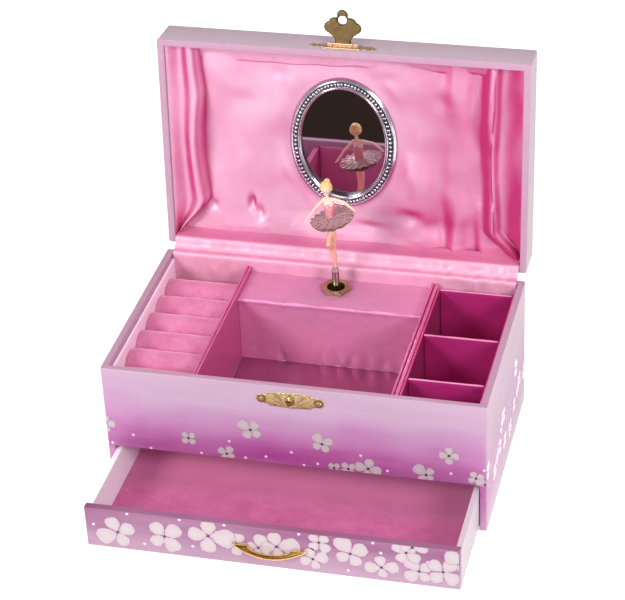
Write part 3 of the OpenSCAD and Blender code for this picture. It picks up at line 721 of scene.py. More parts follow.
def blossom_cells(x, y, start, lengths):
    for k, length in enumerate(lengths):
        if not length:
            continue
        a = math.radians(start + 90 * k)
        c, s = math.cos(a), math.sin(a)
        rings = [[(x + px * c - py * s, y + px * s + py * c, t) for px, py, t in ring]
                 for ring in petal(length * 1.04, length * 0.84)]
        n = len(rings[0])
        cells = []
        for outer, inner in zip(rings, rings[1:]):
            cells += [[outer[i], outer[(i + 1) % n], inner[(i + 1) % n], inner[i]] for i in range(n)]
        mid = (sum(p[0] for p in rings[-1]) / n, sum(p[1] for p in rings[-1]) / n, 0.3)
        cells += [[rings[-1][i], rings[-1][(i + 1) % n], mid] for i in range(n)]
        yield cells


def dot_cells(x, y, r, n=12, rim=1.0):
    """Disc as an outer and an inner ring of cells. The tone runs from rim at its edge to 0 at its middle."""
    outer = [(a, b, rim) for a, b in oval(r, r, n, x, y)]
    inner = [(a, b, rim / 2) for a, b in oval(r / 2, r / 2, n, x, y)]
    cells = []
    for i in range(n):
        k = (i + 1) % n
        cells += [[outer[i], outer[k], inner[k], inner[i]], [inner[i], inner[k], (x, y, 0.0)]]
    return cells


def printed_flowers(name, blossoms, dots, limits, place, body, slot, mat="pale_blossom_print"):
    """Petals and dots as thin prints on a flat face. place takes (x, y, height above the face)."""
    petals = []
    for k, (x, y, start, lengths) in enumerate(blossoms):
        petals += [(cells, 0.05 + 0.012 * m + 0.006 * (k % 3))
                   for m, cells in enumerate(blossom_cells(x, y, start, lengths))]
        petals.append((dot_cells(x, y, 0.85, 8, 0.0), 0.13))
    spots = [(dot_cells(x, y, 1.0), 0.04) for x, y in dots]
    for ending, shapes, surface in (("_blossoms", petals, mat), ("_dots", spots, "dot_print")):
        parts, tones = [], []
        for cells, lift in shapes:
            verts, faces, tone = decal(cells, limits, lift)
            if faces:
                parts.append((verts, faces))
                tones += tone
        piece(name + ending, *joined(parts), surface, body, slot, place=place, sharp=20, attribute=tones)


FRONT_BLOSSOMS = [(-61, 42, 45, (5, 5, 5, 5)), (-24, 52.5, 55, (7, 9, 7, 7)), (-39, 34, 60, (6, 6, 5, 5)),
                  (-110, 46, 0, (6, 6, 0, 6)), (17, 48, 30, (7, 8, 6, 6)), (89, 49.5, 0, (6, 6, 6, 6)),
                  (43, 34.4, 80, (7, 8, 6, 8)), (31.6, 32.8, 40, (5, 5, 5, 5)),
                  (23.4, 32.4, 45, (4, 4, 4, 4)), (76, 34.6, 50, (6, 9, 6, 5)),
                  (104, 36, 30, (5, 5, 5, 5)), (109, 32.3, 45, (5, 5, 5, 5))]
FRONT_DOTS = [(-94, 40), (-107, 33), (-84, 32), (-54, 32.6), (-37, 43), (-28, 32.7), (-16, 35), (-1, 40),
              (14, 34), (39, 43), (6, 32), (54, 34.5), (90, 37.5), (108.6, 42)]
SIDE_BLOSSOMS = [(32, 45, 20, (6, 7, 6, 7)), (44.5, 28, 50, (6, 6, 6, 6)), (63, 23, 10, (7, 7, 7, 7)),
                 (38.6, 25, 70, (5, 6, 5, 6)), (26.6, 22.7, 30, (5, 5, 5, 5)), (-12, 41, 40, (6, 6, 7, 6)),
                 (-17.5, 38, 10, (5, 5, 5, 5)), (12, 16.3, 55, (6, 6, 6, 6)), (-23, 28, 20, (5, 6, 5, 6)),
                 (-6, 20.5, 35, (6, 5, 6, 5)), (-31, 27, 65, (5, 5, 5, 5)), (-64, 39.6, 25, (7, 6, 7, 6)),
                 (-39.6, 23, 45, (6, 6, 6, 6))]
SIDE_DOTS = [(-50, 34), (-46, 18), (0, 31), (20, 35), (52, 40), (8, 27), (-26, 17), (56, 14), (36, 15),
             (-58, 26)]
DRAWER_BLOSSOMS = [(-87, 15, 26, (11, 11, 14, 10)), (-60, 16, 38, (12, 11, 10, 12)),
                   (-34.6, 20, -3, (16, 11, 12, 12)), (-18, 16.5, 80, (8, 0, 8, 6)),
                   (-6.4, 15.9, 78, (10, 7, 6, 7)), (4, 18.2, 10, (14, 10, 9, 7)),
                   (28, 24.6, 45, (7, 7, 7, 8)), (45.3, 19.4, 32, (11, 13, 9, 9)),
                   (24.2, 12.6, 20, (9.5, 8, 8, 7)), (62.4, 12.6, 8, (10, 8, 10, 7)),
                   (76.2, 24.7, 55, (7, 9, 8, 9)), (79.6, 28.8, 5, (9, 4, 7, 4)),
                   (83.2, 13, 40, (8, 11, 10, 8)), (96.2, 14.6, 50, (10, 10, 10, 11)),
                   (108.5, 23.8, 80, (7, 12, 9, 6))]
DRAWER_DOTS = [(-101, 18.7), (-80.6, 28.6), (-50.5, 28.8), (-25, 28.8), (-44, 11.4), (17, 28.8), (58, 28.8),
               (62.3, 22.5), (43.8, 7.7), (-72, 9), (88, 20)]


def turned_round(blossoms):
    """The same print for the opposite face, where x runs the other way."""
    return [(-x, y, 180 - start - 90 * (len(petals) - 1), petals[::-1]) for x, y, start, petals in blossoms]


def all_prints():
    gap = 0.8
    x, y, top = HALF_W - gap, HALF_D - gap, CASE_H - 0.4
    back_top = 62
    printed_flowers("front", FRONT_BLOSSOMS, FRONT_DOTS, (-x - 0.4, x + 0.4, OPENING_TOP + 0.4, top),
                    lambda x, z, h: (x, -HALF_D - h, z), "case", "case_paper", "blossom_print")
    printed_flowers("right_side", SIDE_BLOSSOMS, SIDE_DOTS, (-y, y, gap, top),
                    lambda y, z, h: (HALF_W + h, y, z), "case", "case_paper")
    printed_flowers("left_side", turned_round(SIDE_BLOSSOMS), [(-y, z) for y, z in SIDE_DOTS],
                    (-y, y, gap, top), lambda y, z, h: (-HALF_W - h, y, z), "case", "case_paper")
    printed_flowers("back", turned_round(FRONT_BLOSSOMS), [(-x, z) for x, z in FRONT_DOTS],
                    (-x, x, gap, back_top), lambda x, z, h: (x, HALF_D + h, z), "case", "case_paper")
    printed_flowers("drawer_front", DRAWER_BLOSSOMS, DRAWER_DOTS,
                    (front_low[0] + 0.5, front_high[0] - 0.5, front_low[2] + 0.5, front_high[2] - 0.5),
                    lambda x, z, h: (x, front_low[1] - h, z), "drawer", "case_paper", "blossom_print")


# ---------- Lid lining ----------

LINING_V = 15.0
LINING_BACK = 18.9
LINING_SIDE = 105.7
LINING_FOOT, LINING_TOP = 4.3, 127.8


def left_fold(u):
    """Inner edge of the puffed fold along the left rim: straight, then slanting to the corner at the foot."""
    return -87.2 + 1.7 * math.sin(u / 15 + 0.6) - 18.5 * smooth_step(28, 2, u) - 2.5 * smooth_step(92, 116, u)


def right_fold(u):
    return 88.4 + 1.3 * math.sin(u / 18 + 1) + 15 * smooth_step(22, 3, u) - 1.0 * smooth_step(95, 116, u)


def top_hem(x):
    """Height of the wavy hem below the front rail."""
    hem = 117.0 + 1.0 * math.sin(x / 25) + 0.8 * wobble(x, 0, 0, 12)
    return hem + 0.7 * math.sin(x / 5.2) * smooth_step(10, 60, x) - 4.5 * smooth_step(-88, -104, x)


def strip_left(t, u):
    """Depth across the left fold, t from 0 at the rim to 1 inside: valley, round ridge, sharp edge."""
    valley = 1.0 + 0.2 * math.sin(u / 17)
    body = 1.5 + 6.2 * valley * smooth_step(0, 0.36, t) - 4.2 * smooth_step(0.4, 0.76, t)
    return body + 5.5 * smooth_step(0.84, 1, t) + 0.8 * wobble(t * 20, u, 0, 14, 2) * t


def strip_right(t, u):
    """Depth across the right fold, t from 0 at the rim to 1 inside: steep ramp, dip, round ridge."""
    ridge = 4.6 * smooth_step(0.76, 1, t)
    ripple = 0.4 * math.sin(u / 7 + 4 * t) * math.sin(math.pi * t)
    return 1.8 + 10.6 * smooth_step(-0.2, 0.74, t) - ridge + ripple


def strip_top(t, x):
    """Depth up the slope under the front rail, t from 0 at the hem to 1 at the rim."""
    pleat = 0.5 * wobble(x, t * 3, 0, 5.5, 3) * math.sin(math.pi * t) * (0.5 + smooth_step(0, 50, x))
    return 13.6 - 1.6 * t + pleat + 1.1 * bump_at(t, 0.03, 0.06) * smooth_step(0, 45, x)


BANDS = [(44, 7, -2.0), (56, 5.5, 3.6), (65.5, 5, -2.6), (75, 5, 3.6), (82, 3, -1.4)]
DIMPLES = [(-84, 22, 3, 3, 1.6), (-60.5, 24, 2.0, 4.5, 4.2), (-56, 18, 3.5, 4, 2.6), (-43, 66, 7, 20, 4.2),
           (-62, 92, 10, 6, 1.2), (-66, 55, 14, 20, -1.1), (37, 23, 9, 5, 3.4), (48, 17, 7, 5, 2.6),
           (14, 19, 9, 3, -1.6), (56, 100, 5, 6, 1.6), (24, 111, 6, 4, 1.0), (-40, 110, 7, 4, 0.9),
           (8, 14, 10, 3, 1.3)]


def flat_depth(x, u):
    """Depth of the padded middle of the lining: soft bands, sags and dimples around the mirror."""
    r = math.hypot((x - MIRROR_X) / MIRROR_A, (u - MIRROR_U) / MIRROR_B)
    clear = smooth_step(1.0, 1.3, r)
    v = LINING_V - 0.9 * clear + 3.6 * smooth_step(0.98, 0.88, r)
    beside = min(abs(x - left_fold(u)), abs(x - right_fold(u)))
    v -= 2.8 * smooth_step(22, 3, u)
    v += (1.8 * math.exp(-beside / 1.5) if x < 0 else -6.2 * smooth_step(9, 0, beside))
    right = smooth_step(25, 60, x)
    for band, wide, deep in BANDS:
        drift = 3 * math.sin(u / 26 + band)
        fading = 0.55 + 0.45 * math.sin(u / 19 + band / 9)
        v += clear * right * deep * bump_at(x + drift, band, wide) * fading
    calm = smooth_step(4, 22, u)
    v += clear * (3.4 * wobble(x, u * 0.5, 0, 30) + 0.5 * wobble(x, u * 0.7, 0, 10, 5)) * (0.3 + 0.7 * calm)
    v += clear * 1.5 * math.sin((u + 0.5 * x) / 13 + 1.5 * wobble(x, u, 0, 30, 4)) * calm
    v += 1.0 * bump_at(r, 1.05, 0.12) * smooth_step(-0.3, 0.6, (MIRROR_U - u) / 41 + (MIRROR_X - x) / 60)
    for dx, du, wide, tall, deep in DIMPLES:
        v += deep * bump_at(x, dx, wide) * bump_at(u, du, tall)
    hem = 0.5 * math.exp(-(u - 9) ** 2 / 3) * wobble(x, 0, 0, 12, 9)
    return min(v + 0.5 * math.exp(-(u - 4) / 2.0) + hem, 18.6)


def lining_point(i, j, xs, us):
    """Grid lines follow the folds, so each fold keeps a clean edge. i and j run over the bands each way."""
    band_u, tu = us[j]
    hem = top_hem(LINING_SIDE * (2 * (i + 0.5) / len(xs) - 1))
    u = LINING_FOOT + (hem - LINING_FOOT) * tu if band_u == 0 else hem + (LINING_TOP - hem) * tu
    band_x, tx = xs[i]
    lines = [-LINING_SIDE, left_fold(u), right_fold(u), LINING_SIDE]
    x = lines[band_x] + (lines[band_x + 1] - lines[band_x]) * tx
    top = strip_top(tu, x) if band_u else 99
    if band_x == 0:
        v = min(strip_left(tx, u), top + 1.5)
    elif band_x == 2:
        v = min(strip_right(1 - tx, u), top + 1.0)
    else:
        v = min(flat_depth(x, u), top)
    return x, u, v


def lid_lining():
    cell = 0.8
    xs = [(0, t) for t in steps(0, 1, cell / 19)] + [(1, t) for t in steps(0.003, 0.997, cell / 175)]
    xs += [(2, t) for t in steps(0, 1, cell / 17)]
    us = [(0, t) for t in steps(0, 1, cell / 113)] + [(1, t) for t in steps(0.05, 1, cell / 11)]

    def back(i, j):
        return (*lining_point(i, j, xs, us)[:2], LINING_BACK)

    verts, faces = closed_grid(len(xs), len(us), lambda i, j: lining_point(i, j, xs, us), back)
    nodes = ["lid_lining", "lid_edge_padding"]
    obj = piece("lid_lining_satin", verts, faces, "satin", "lid", "card_satin", nodes, lid_point, 75)


def hinge_flap():
    """Satin strip from the lining's foot over the lid's back rail and the hinge, down inside the case."""
    half = 105.3
    xs = steps(-half, half, 1.2)
    on_lid = [(5.4, 12.6), (4.7, 8.0), (4.4, -0.3), (2.5, -1.0), (0.0, -1.6)]
    on_case = [(66.6, 85.6), (64.4, 84.9), (62.6, 84.8), (61.5, 84.0), (61.2, 81.0), (61.2, 75.0),
               (61.2, 62.0)]
    stops = [lid_point(0, u, v)[1:] for u, v in on_lid] + on_case
    path = []
    for a, b in zip(stops, stops[1:]):
        n = max(2, round(math.dist(a, b) / 0.9))
        path += [(a[0] + (b[0] - a[0]) * k / n, a[1] + (b[1] - a[1]) * k / n) for k in range(n)]
    path.append(stops[-1])
    for _ in range(2):
        path = path[:1] + [tuple((a[c] + 2 * b[c] + d[c]) / 4 for c in (0, 1))
                           for a, b, d in zip(path, path[1:], path[2:])] + path[-1:]
    length = sum(math.dist(a, b) for a, b in zip(path, path[1:]))

    def surface(i, j, drop):
        x, (y, z) = xs[i], path[j]
        t = j / (len(path) - 1)
        free = math.sin(math.pi * min(max((t - 0.2) / 0.75, 0), 1))
        right = 1 + 1.6 * smooth_step(20, 85, x)
        swell = 0.7 + 1.2 * wobble(x, 0, t * 14, 14, 2) + 0.8 * right * wobble(x, 0, t * 16, 4.5, 4)
        crease = 0.25 * (1 + wobble(x, 0, t * 5, 6, 8)) * smooth_step(0.12, 0.3, t)
        away = max(free * swell, 0) + crease - drop
        lean = 1.0 - 0.45 * smooth_step(0.35, 0.6, t) * smooth_step(0.8, 0.6, t)
        return (x, y - away * lean, z + away * 0.35)

    verts, faces = closed_grid(len(xs), len(path), lambda i, j: surface(i, j, 0),
                               lambda i, j: surface(i, j, 0.3))
    obj = piece("hinge_flap_satin", verts, faces, "flap_satin", None, "card_satin", ["hinge_flap"], sharp=75)
    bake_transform(obj)


# ---------- Tray ----------

def covered_card(name, boxes, mat, slot, node):
    """Board cards wrapped in satin: rounded edges and slight puckers."""
    wrinkle, inset, cell = 0.14, 0.08, 2.5

    def puff(x, y, z, nx, ny, nz):
        return wrinkle * wobble(x, y, z * 0.5, 9, 1) + 0.5 * wrinkle * wobble(x, y, z, 3.5, 6)

    parts = []
    for low, high in boxes:
        r = min(h - l for l, h in zip(low, high)) * 0.42
        parts.append(rounded_block([l + inset for l in low], [h - inset for h in high], r, cell, puff))
    verts, faces = joined(parts)
    obj = piece(name, verts, faces, mat, "case", slot, [node], sharp=60)
    # Painted highlight: the top edges of deep satin cards take the paler lining satin.
    if mat == "deep_satin":
        top = max(high[2] for low, high in boxes)
        paint_faces(obj, ["deep_satin", "satin"], lambda c, n: "satin" if c.z > top - 1.0 else "deep_satin")


def stage():
    """Satin-covered platform in front of the lid: its top has a hole for the brass nut's sleeve."""
    x0, y0 = stage_low[:2]
    x1, y1, z1 = stage_high
    hole = 6.9
    xs = steps(x0, x1, 1.3)
    ys = steps(y0, y1, 1.3)
    zs = box_mm("stage_front_card")[0][2]

    def height(x, y):
        crown = 0.25 * math.sin(math.pi * (x - x0) / (x1 - x0)) * math.sin(math.pi * (y - y0) / (y1 - y0))
        fold = 0.5 * wobble(x, y * 0.5, 0, 14, 7) + 0.3 * wobble(x * 0.6, y, 0, 7, 8)
        tuck = 0.5 * bump_at(math.hypot(x - SPINDLE_X, y - SPINDLE_Y), 9.5, 2.5)
        return z1 + crown + fold - tuck - 0.35

    drape = [(y0 + 0.25, -0.35), (y0 - 0.15, -1.0), (y0 - 0.25, -2.0)]
    rows = [("front", z) for z in steps(zs + 0.2, z1 - 2.4, 1.6)]
    path = [(y0 - 0.1, z) for _, z in rows] + [(y, z1 + dz) for y, dz in drape[::-1]]

    def front(i, j, inward):
        x = xs[i]
        if j < len(path):
            y, z = path[j]
            low = smooth_step(zs + 16, zs, z)
            ripple = 0.45 * wobble(x, 0, z * 0.3, 10, 11) + 0.2 * wobble(x, 0, z, 4, 12)
            for k, fold in enumerate((-30, -8, 3, 11, 22, 31, 40)):
                ripple += low * 1.3 * bump_at(x + 0.15 * (z - zs) * (-1) ** k, fold, 1.6 + 0.3 * k % 2)
            return (x, y + ripple + inward, z - (inward * 0.6 if j >= len(path) - 2 else 0))
        y = ys[j - len(path) + 1]
        return (x, y, height(x, y) - inward)

    count = len(path) + len(ys) - 1
    verts, faces = closed_grid(len(xs), count, lambda i, j: front(i, j, 0), lambda i, j: front(i, j, 0.9))
    nodes = ["stage_top_card", "stage_front_card"]
    obj = piece("stage_satin", verts, faces, "stage_satin", "case", "card_satin", nodes, sharp=60)
    ring = [[(x, y, z) for x, y in oval(hole, hole, 40, SPINDLE_X, SPINDLE_Y)] for z in (z1 - 4, z1 + 3)]
    cut(obj, [ring_loft(ring)], bevel=0, sharp=60)


def ring_rolls():
    """Foam rolls in one piece of plush, which dips into a tight groove between them."""
    low, high = box_mm("ring_rolls")
    rolls = islands("ring_rolls")
    pitch = (high[1] - low[1]) / len(rolls)
    centre_z = (low[2] + high[2]) / 2

    def height(x, y):
        k = min(max(math.floor((y - low[1]) / pitch), 0), len(rolls) - 1)
        dy = y - low[1] - (k + 0.5) * pitch
        reach = pitch / 2 + 0.02 + 0.2 * wobble(x, k * 7, 0, 14, 3)
        z = centre_z + math.sqrt(max(reach ** 2 - dy ** 2, 0)) * 0.985
        z -= 0.9 * (bump_at(x, low[0], 1.2) + bump_at(x, high[0], 1.2))
        return z + 0.12 * wobble(x, y, 0, 2.2, 5) + 0.25 * wobble(x, y, 0, 9, 6)

    under = 50.0
    verts, faces = height_field(low, high, (0.8, 0.55), height, under)
    nodes = ["ring_rolls", "ring_cushion_base"]
    obj = piece("ring_roll_plush", verts, faces, "plush", "case", "plush", nodes, sharp=70)


def pads():
    def puff(x, y, z, nx, ny, nz):
        return 0.12 * wobble(x, y, 0, 8, 2) + 0.25 * max(nz, 0)

    blocks = joined([rounded_block(low, high, 0.26, 3, puff) for low, high in islands("floor_pads")])
    obj = piece("floor_pad_satin", *blocks, "floor_satin", "case", "card_satin", ["floor_pads"], sharp=60)


def tray():
    for name, mat, slot, node in (("tray_dividers", "divider_satin", "card_satin", "tray_divider_cards"),
                                  ("left_card", "pale_satin", "card_satin", "left_side_card"),
                                  ("right_insert", "deep_satin", "deep_satin", "right_insert_cards"),
                                  ("cross_dividers", "deep_satin", "deep_satin", "right_cross_dividers")):
        covered_card(name + "_satin", islands(node), mat, slot, node)
    fold = [([56.75, -61.0, 62.0], [59.45, 61.8, 80.3])]
    covered_card("divider_fold_satin", fold, "divider_satin", "card_satin", "tray_divider_cards")
    stage()
    ring_rolls()
    pads()


# ---------- Drawer ----------

def felt_liner():
    low, high = box_mm("drawer_felt")
    gap = 0.1

    def height(x, y):
        edge = min(x - low[0], high[0] - x, y - low[1], high[1] - y)
        waves = 0.25 * wobble(x, y, 0, 30) + 0.12 * wobble(x, y, 0, 7, 3)
        return high[2] + waves + 0.5 * math.exp(-edge / 1.2)

    corners = [v + gap for v in low], [v - gap for v in high]
    verts, faces = height_field(*corners, (2.0, 2.0), height, low[2] + 0.02)
    obj = piece("drawer_felt_liner", verts, faces, "felt", "drawer", "felt", ["drawer_felt"], sharp=60)


# ---------- Brass ----------

def relief_plate(name, inside, area, height, tone, place, body, mat, replaces=(), cell=0.3):
    """Stamped plate: inside(x, z) is positive on it, height(x, z) its face, tone(x, z, inside) its patina and
    painted shade and light.
    """
    xs, zs = steps(*area[:2], cell), steps(*area[2:], cell)
    depths = {(i, j): inside(x, z) for i, x in enumerate(xs) for j, z in enumerate(zs)}
    index, top, faces, tones = {}, [], [], []
    for i in range(len(xs) - 1):
        for j in range(len(zs) - 1):
            keys = [(i, j), (i + 1, j), (i + 1, j + 1), (i, j + 1)]
            if min(depths[k] for k in keys) <= 0:
                continue
            for k in keys:
                if k not in index:
                    index[k] = len(top)
                    x, z = xs[k[0]], zs[k[1]]
                    round_off = math.sin(min(depths[k] / 0.8, 1.0) * math.pi / 2) ** 0.7
                    tones.append(tone(x, z, depths[k]))
                    top.append((x, z, height(x, z) * round_off))
            faces.append([index[k] for k in keys])
    plate = closed_patch(top, faces, -0.3)
    obj = piece(name, *plate, mat, body, "brass", replaces, place=place, sharp=60, attribute=tones * 2)
    modify(obj, "SMOOTH", factor=0.5, iterations=2)
    return bake(obj, 60)


def bead(x, u, z, along):
    """Bead of the mirror's frame, its axis turned to run along the ring."""
    c, s = math.cos(along), math.sin(along)
    rings = []
    for m in range(6):
        p = math.pi * (m + 0.5) / 6
        du = 0.92 * math.cos(p)
        rings.append([(x + du * c - dw * s, u + du * s + dw * c, z - rise)
                      for dw, rise in oval(math.sin(p), 1.1 * math.sin(p), 10)])
    return ring_loft(rings)


def proud(h):
    """Keeps the back of a plate just clear of the face that it lies on."""
    return h if h >= 0 else 0.02


def mirror_frame():
    """Silver oval moulding: bright inner bevel, a ring of beads in a dark groove, and a smooth outer lip."""
    back = mirror_high[2]
    section = [(5.6, -1.6), (7.0, -1.6), (7.0, 0.9), (6.6, 1.8), (6.1, 2.0), (5.5, 1.9), (5.0, 1.2),
               (4.8, 0.9), (2.5, 0.9), (2.3, 1.4), (1.9, 1.7), (1.4, 1.6), (1.0, 1.1), (0.4, 0.9),
               (0.05, 0.5), (0.0, 0.0)]
    n, count, groove = 144, 88, 3.65
    a, b = MIRROR_A - groove, MIRROR_B - groove
    rings = []
    for inset, rise in section:
        outline = oval(MIRROR_A - inset, MIRROR_B - inset, n, MIRROR_X, MIRROR_U)
        rings.append([(x, u, back - rise * 1.4) for x, u in outline])
    parts = [ring_loft(rings, close=True)]
    for k, (x, u) in enumerate(oval(a, b, count, MIRROR_X, MIRROR_U)):
        t = 2 * math.pi * k / count
        parts.append(bead(x, u, back - 1.5, math.atan2(b * math.cos(t), -a * math.sin(t))))
    verts, faces = joined(parts)
    obj = piece("mirror_bead_frame", verts, faces, "silver", "lid", "silver_frame", ["mirror_frame"],
                place=lid_point, sharp=50)
    obj.data.materials.append(MATERIALS["silver_groove"])
    for k in [*range(2 * n), *range(7 * n, 8 * n)]:
        obj.data.polygons[k].material_index = 1


def mirror_face():
    """Glass of the mirror, seated a little askew in the padding behind the frame."""
    inset, thick, slope = 4.6, 0.8, math.tan(math.radians(2.0))
    outline = oval(MIRROR_A - inset, MIRROR_B - inset, 96)
    front = [(MIRROR_X + x, MIRROR_U + u, LINING_V - u * slope) for x, u in outline]
    glass = ring_loft([front, [(x, u, v + thick) for x, u, v in front]])
    piece("mirror_glass_face", *glass, "mirror", "lid", "mirror", ["mirror_glass"], place=lid_point)


def latch_plate():
    """Stamped oblong plate with lobed ends, a shell pattern and a ring around the stud."""
    low, high = box_mm("latch_plate")
    z_mid = (low[2] + high[2]) / 2
    half = high[0]

    def inside(x, z):
        dz = z - z_mid
        scallop = 0.25 * abs(math.sin(x * 1.1))
        wide = 5.0 + 0.5 * bump_at(x, 0, 5) - 1.7 * smooth_step(11, 14.2, abs(x)) - scallop
        body = min(wide - abs(dz), 15.5 - abs(x))
        lobe = 3.2 - math.hypot(abs(x) - (half - 3.3), dz)
        return max(body, lobe)

    def ring(x, dz, radius, width):
        return bump_at(math.hypot(x, dz), radius, width)

    def height(x, z):
        dz = z - z_mid
        shell = 0.05 * math.sin(11 * math.atan2(dz + 6, x)) * smooth_step(3, 5, math.hypot(x, dz))
        rim = 0.15 * math.exp(-(inside(x, z) - 0.45) ** 2 / 0.06)
        nail = sum(0.8 * ring(x - s * 16.2, dz, 0, 1.3) for s in (-1, 1))
        return 0.5 + shell + rim + 0.7 * ring(x, dz, 1.7, 0.45) + nail

    def tone(x, z, edge):
        dz = z - z_mid
        # Painted shadow: dark rings round the raised stud ring and round the two nail heads.
        dark = 0.8 * ring(x, dz, 2.4, 0.35) + sum(0.9 * ring(x - s * 16.2, dz, 2.2, 0.55) for s in (-1, 1))
        return min(0.12 * smooth_step(0.4, 1.2, edge) + dark + 0.6 * math.exp(-edge / 0.25), 1)

    def place(x, z, h):
        return (x, -HALF_D - proud(h), z)

    relief_plate("latch_plate_relief", inside, (-half, half, low[2], high[2]), height, tone, place, "case",
                 "antique_brass")
    knob = [(0.01, 0), (1.5, 0), (1.5, 1.0), (1.3, 1.4), (1.9, 1.7), (2.1, 2.2), (1.9, 2.7), (1.2, 3.0),
            (0.01, 3.05)]
    rings = [[(x, -HALF_D - 0.7 - h * 0.8, z) for x, z in oval(r, r, 24, 0, z_mid)] for r, h in knob]
    piece("latch_stud_knob", *ring_loft(rings), "brass", "case", "brass", ["latch_plate"])


def hasp_plate():
    """Pierced-look plate on the lid's front rail with a rolled front bar, stood on the rail's outer face."""
    low, high = lid_box("hasp_plate")
    half = high[0]
    v_mid = (low[2] + high[2]) / 2

    def inside(x, v):
        t = abs(x) / half
        if t >= 1:
            return -1
        reach = (4.6 if v > v_mid else 3.4) * (1 - 0.62 * t ** 1.3) + 0.45 * math.cos(x * 1.3)
        bar = min(11 - abs(x), 1.0 - abs(v - v_mid + 3.0))
        return max(min(reach * math.sqrt(1 - t ** 8) - abs(v - v_mid), half - abs(x)), bar)

    def fret(x, v):
        return math.sin(x * 2.3) * math.sin((v - v_mid) * 2.3 + 0.8)

    def height(x, v):
        rim = 0.2 * math.exp(-(inside(x, v) - 0.4) ** 2 / 0.06)
        bar = 0.4 * math.sqrt(max(1 - ((v - v_mid + 3.0) / 1.0) ** 2, 0)) if abs(x) < 11 else 0
        return min(0.42 + 0.5 * rim + 0.12 * fret(x, v) + bar, 0.8)

    def tone(x, v, edge):
        if abs(x) < 11 and abs(v - v_mid + 3.0) < 0.9:
            return 0.0
        return min(0.1 + 1.1 * smooth_step(0.2, 0.75, fret(x, v)) + 0.6 * math.exp(-edge / 0.3), 1)

    def place(x, v, h):
        return lid_point(x, LID_D + proud(h), v)

    relief_plate("hasp_plate_relief", inside, (-half, half, v_mid - 5.0, v_mid + 5.0), height, tone, place,
                 "lid", "rose_brass")


HASP_V = 7.0
HASP_GAP = 1.3


def hasp_axis():
    """Barrel knuckles of the hasp, on its pin."""
    barrels = joined([knuckle(-9.0, -6.2), knuckle(6.2, 9.0)])
    piece("hasp_knuckles", *barrels, "rose_brass", "lid", "brass", ["hasp_plate"], place=lid_point)


def knuckle(x0, x1):
    r, edge = 1.35, 0.2
    rings = []
    for x, s in ((x0, 0.8), (x0 + edge, 1), (x1 - edge, 1), (x1, 0.8)):
        rings.append([(x, u, v) for u, v in oval(r * s, r * s, 24, LID_D + HASP_GAP, HASP_V)])
    return ring_loft(rings)


def hasp_leaf():
    """Crown-shaped leaf that swings over the stud. It is drawn in (x, distance from the pin)."""
    reach = lid_box("hasp_leaf")[1][1] - LID_D - HASP_GAP
    hole = 15.3
    tip = reach - 3.4

    def inside(x, d):
        x = abs(x)
        body = min(4.7 + 5.0 * smooth_step(2.5, 9.5, d) - x, 11.5 - d, d - 0.5)
        circles = ((3.6, 7.5, 10.6), (3.5, 4.9, 13.3), (3.3, 0, tip), (3.7, 0, hole + 0.4))
        lobes = [r - math.hypot(x - cx, d - cd) for r, cx, cd in circles]
        return min(max(body, min(5.6 - x, 15.4 - d, d - 9), *lobes), math.hypot(x, d - hole) - 2.5)

    def height(x, d):
        return 0.55 + 0.3 * smooth_step(0.2, 0.9, inside(x, d))

    def tone(x, d, edge):
        return min(0.5 + 0.9 * smooth_step(1.0, 0.5, edge) + 0.08 * wobble(x, d, 0, 3), 1)

    relief_plate("hasp_leaf_relief", inside, (-11.2, 11.2, 0.4, reach), height, tone,
                 lambda x, d, h: lid_point(x, LID_D + HASP_GAP + d, HASP_V + 0.4 - h), "hasp", "dark_bronze",
                 ["hasp_leaf"])
    piece("hasp_leaf_knuckle", *knuckle(-6.0, 6.0), "rose_brass", "hasp", "brass", place=lid_point)


def drawer_pull():
    """Crescent shell pull: dished and dark inside, with bright rims and pointed ends, held by two nails."""
    half, top, bow = box_mm("drawer_pull")[1][0], 17.0, 6.5
    tilt = math.radians(35)
    face = front_low[1]

    def inside(x, p):
        t = min(abs(x) / (half - 0.3), 1)
        lower = p + bow * (1 - t ** 2)
        s = min(abs(x) / 12.6, 1)
        upper = (0.9 - 0.5 * (abs(x) - 12.6) / 9 if abs(x) > 12.6 else 0.9 - 4.0 * math.sqrt(1 - s * s)) - p
        return min(lower, upper)

    def height(x, p):
        edge = inside(x, p)
        return 0.55 + 0.75 * math.exp(-(edge - 0.5) ** 2 / 0.22) - 0.25 * smooth_step(0.8, 2.0, edge)

    def tone(x, p, edge):
        # Painted light: the right half of the pull is painted brighter than the left.
        return smooth_step(0.45, 0.95, edge) - 0.25 * smooth_step(0, 12, x)

    def place(x, p, h):
        away = 0.75 - p * math.sin(tilt) + max(h, -0.5) * math.cos(tilt)
        return (x, face - max(away, 0.1), top + p * math.cos(tilt) + h * math.sin(tilt))

    relief_plate("drawer_pull_crescent", inside, (-half + 0.3, half - 0.3, -bow, 0.95), height, tone, place,
                 "drawer", "pull_brass", ["drawer_pull"], 0.25)


# ---------- Dancer ----------

def capsule(a, b, ra, rb, n=14):
    """Tapered limb with round ends."""
    a, b = Vector(a), Vector(b)
    axis = (b - a).normalized()
    side = axis.cross(Vector((0, 1, 0)))
    side = side.normalized() if side.length > 0.1 else Vector((1, 0, 0))
    other = axis.cross(side)
    rings = []
    stations = [(a, ra, -math.cos(t), math.sin(t)) for t in (0.15, 0.5, 0.95, math.pi / 2)]
    stations += [(b, rb, math.cos(t), math.sin(t)) for t in (math.pi / 2, 0.95, 0.5, 0.15)]
    for centre, r, along, wide in stations:
        ring = []
        for k in range(n):
            t = 2 * math.pi * k / n
            p = centre + axis * r * along + (side * math.cos(t) + other * math.sin(t)) * r * wide
            ring.append((SPINDLE_X + p.x, SPINDLE_Y + p.y, p.z))
        rings.append(ring)
    return ring_loft(rings)


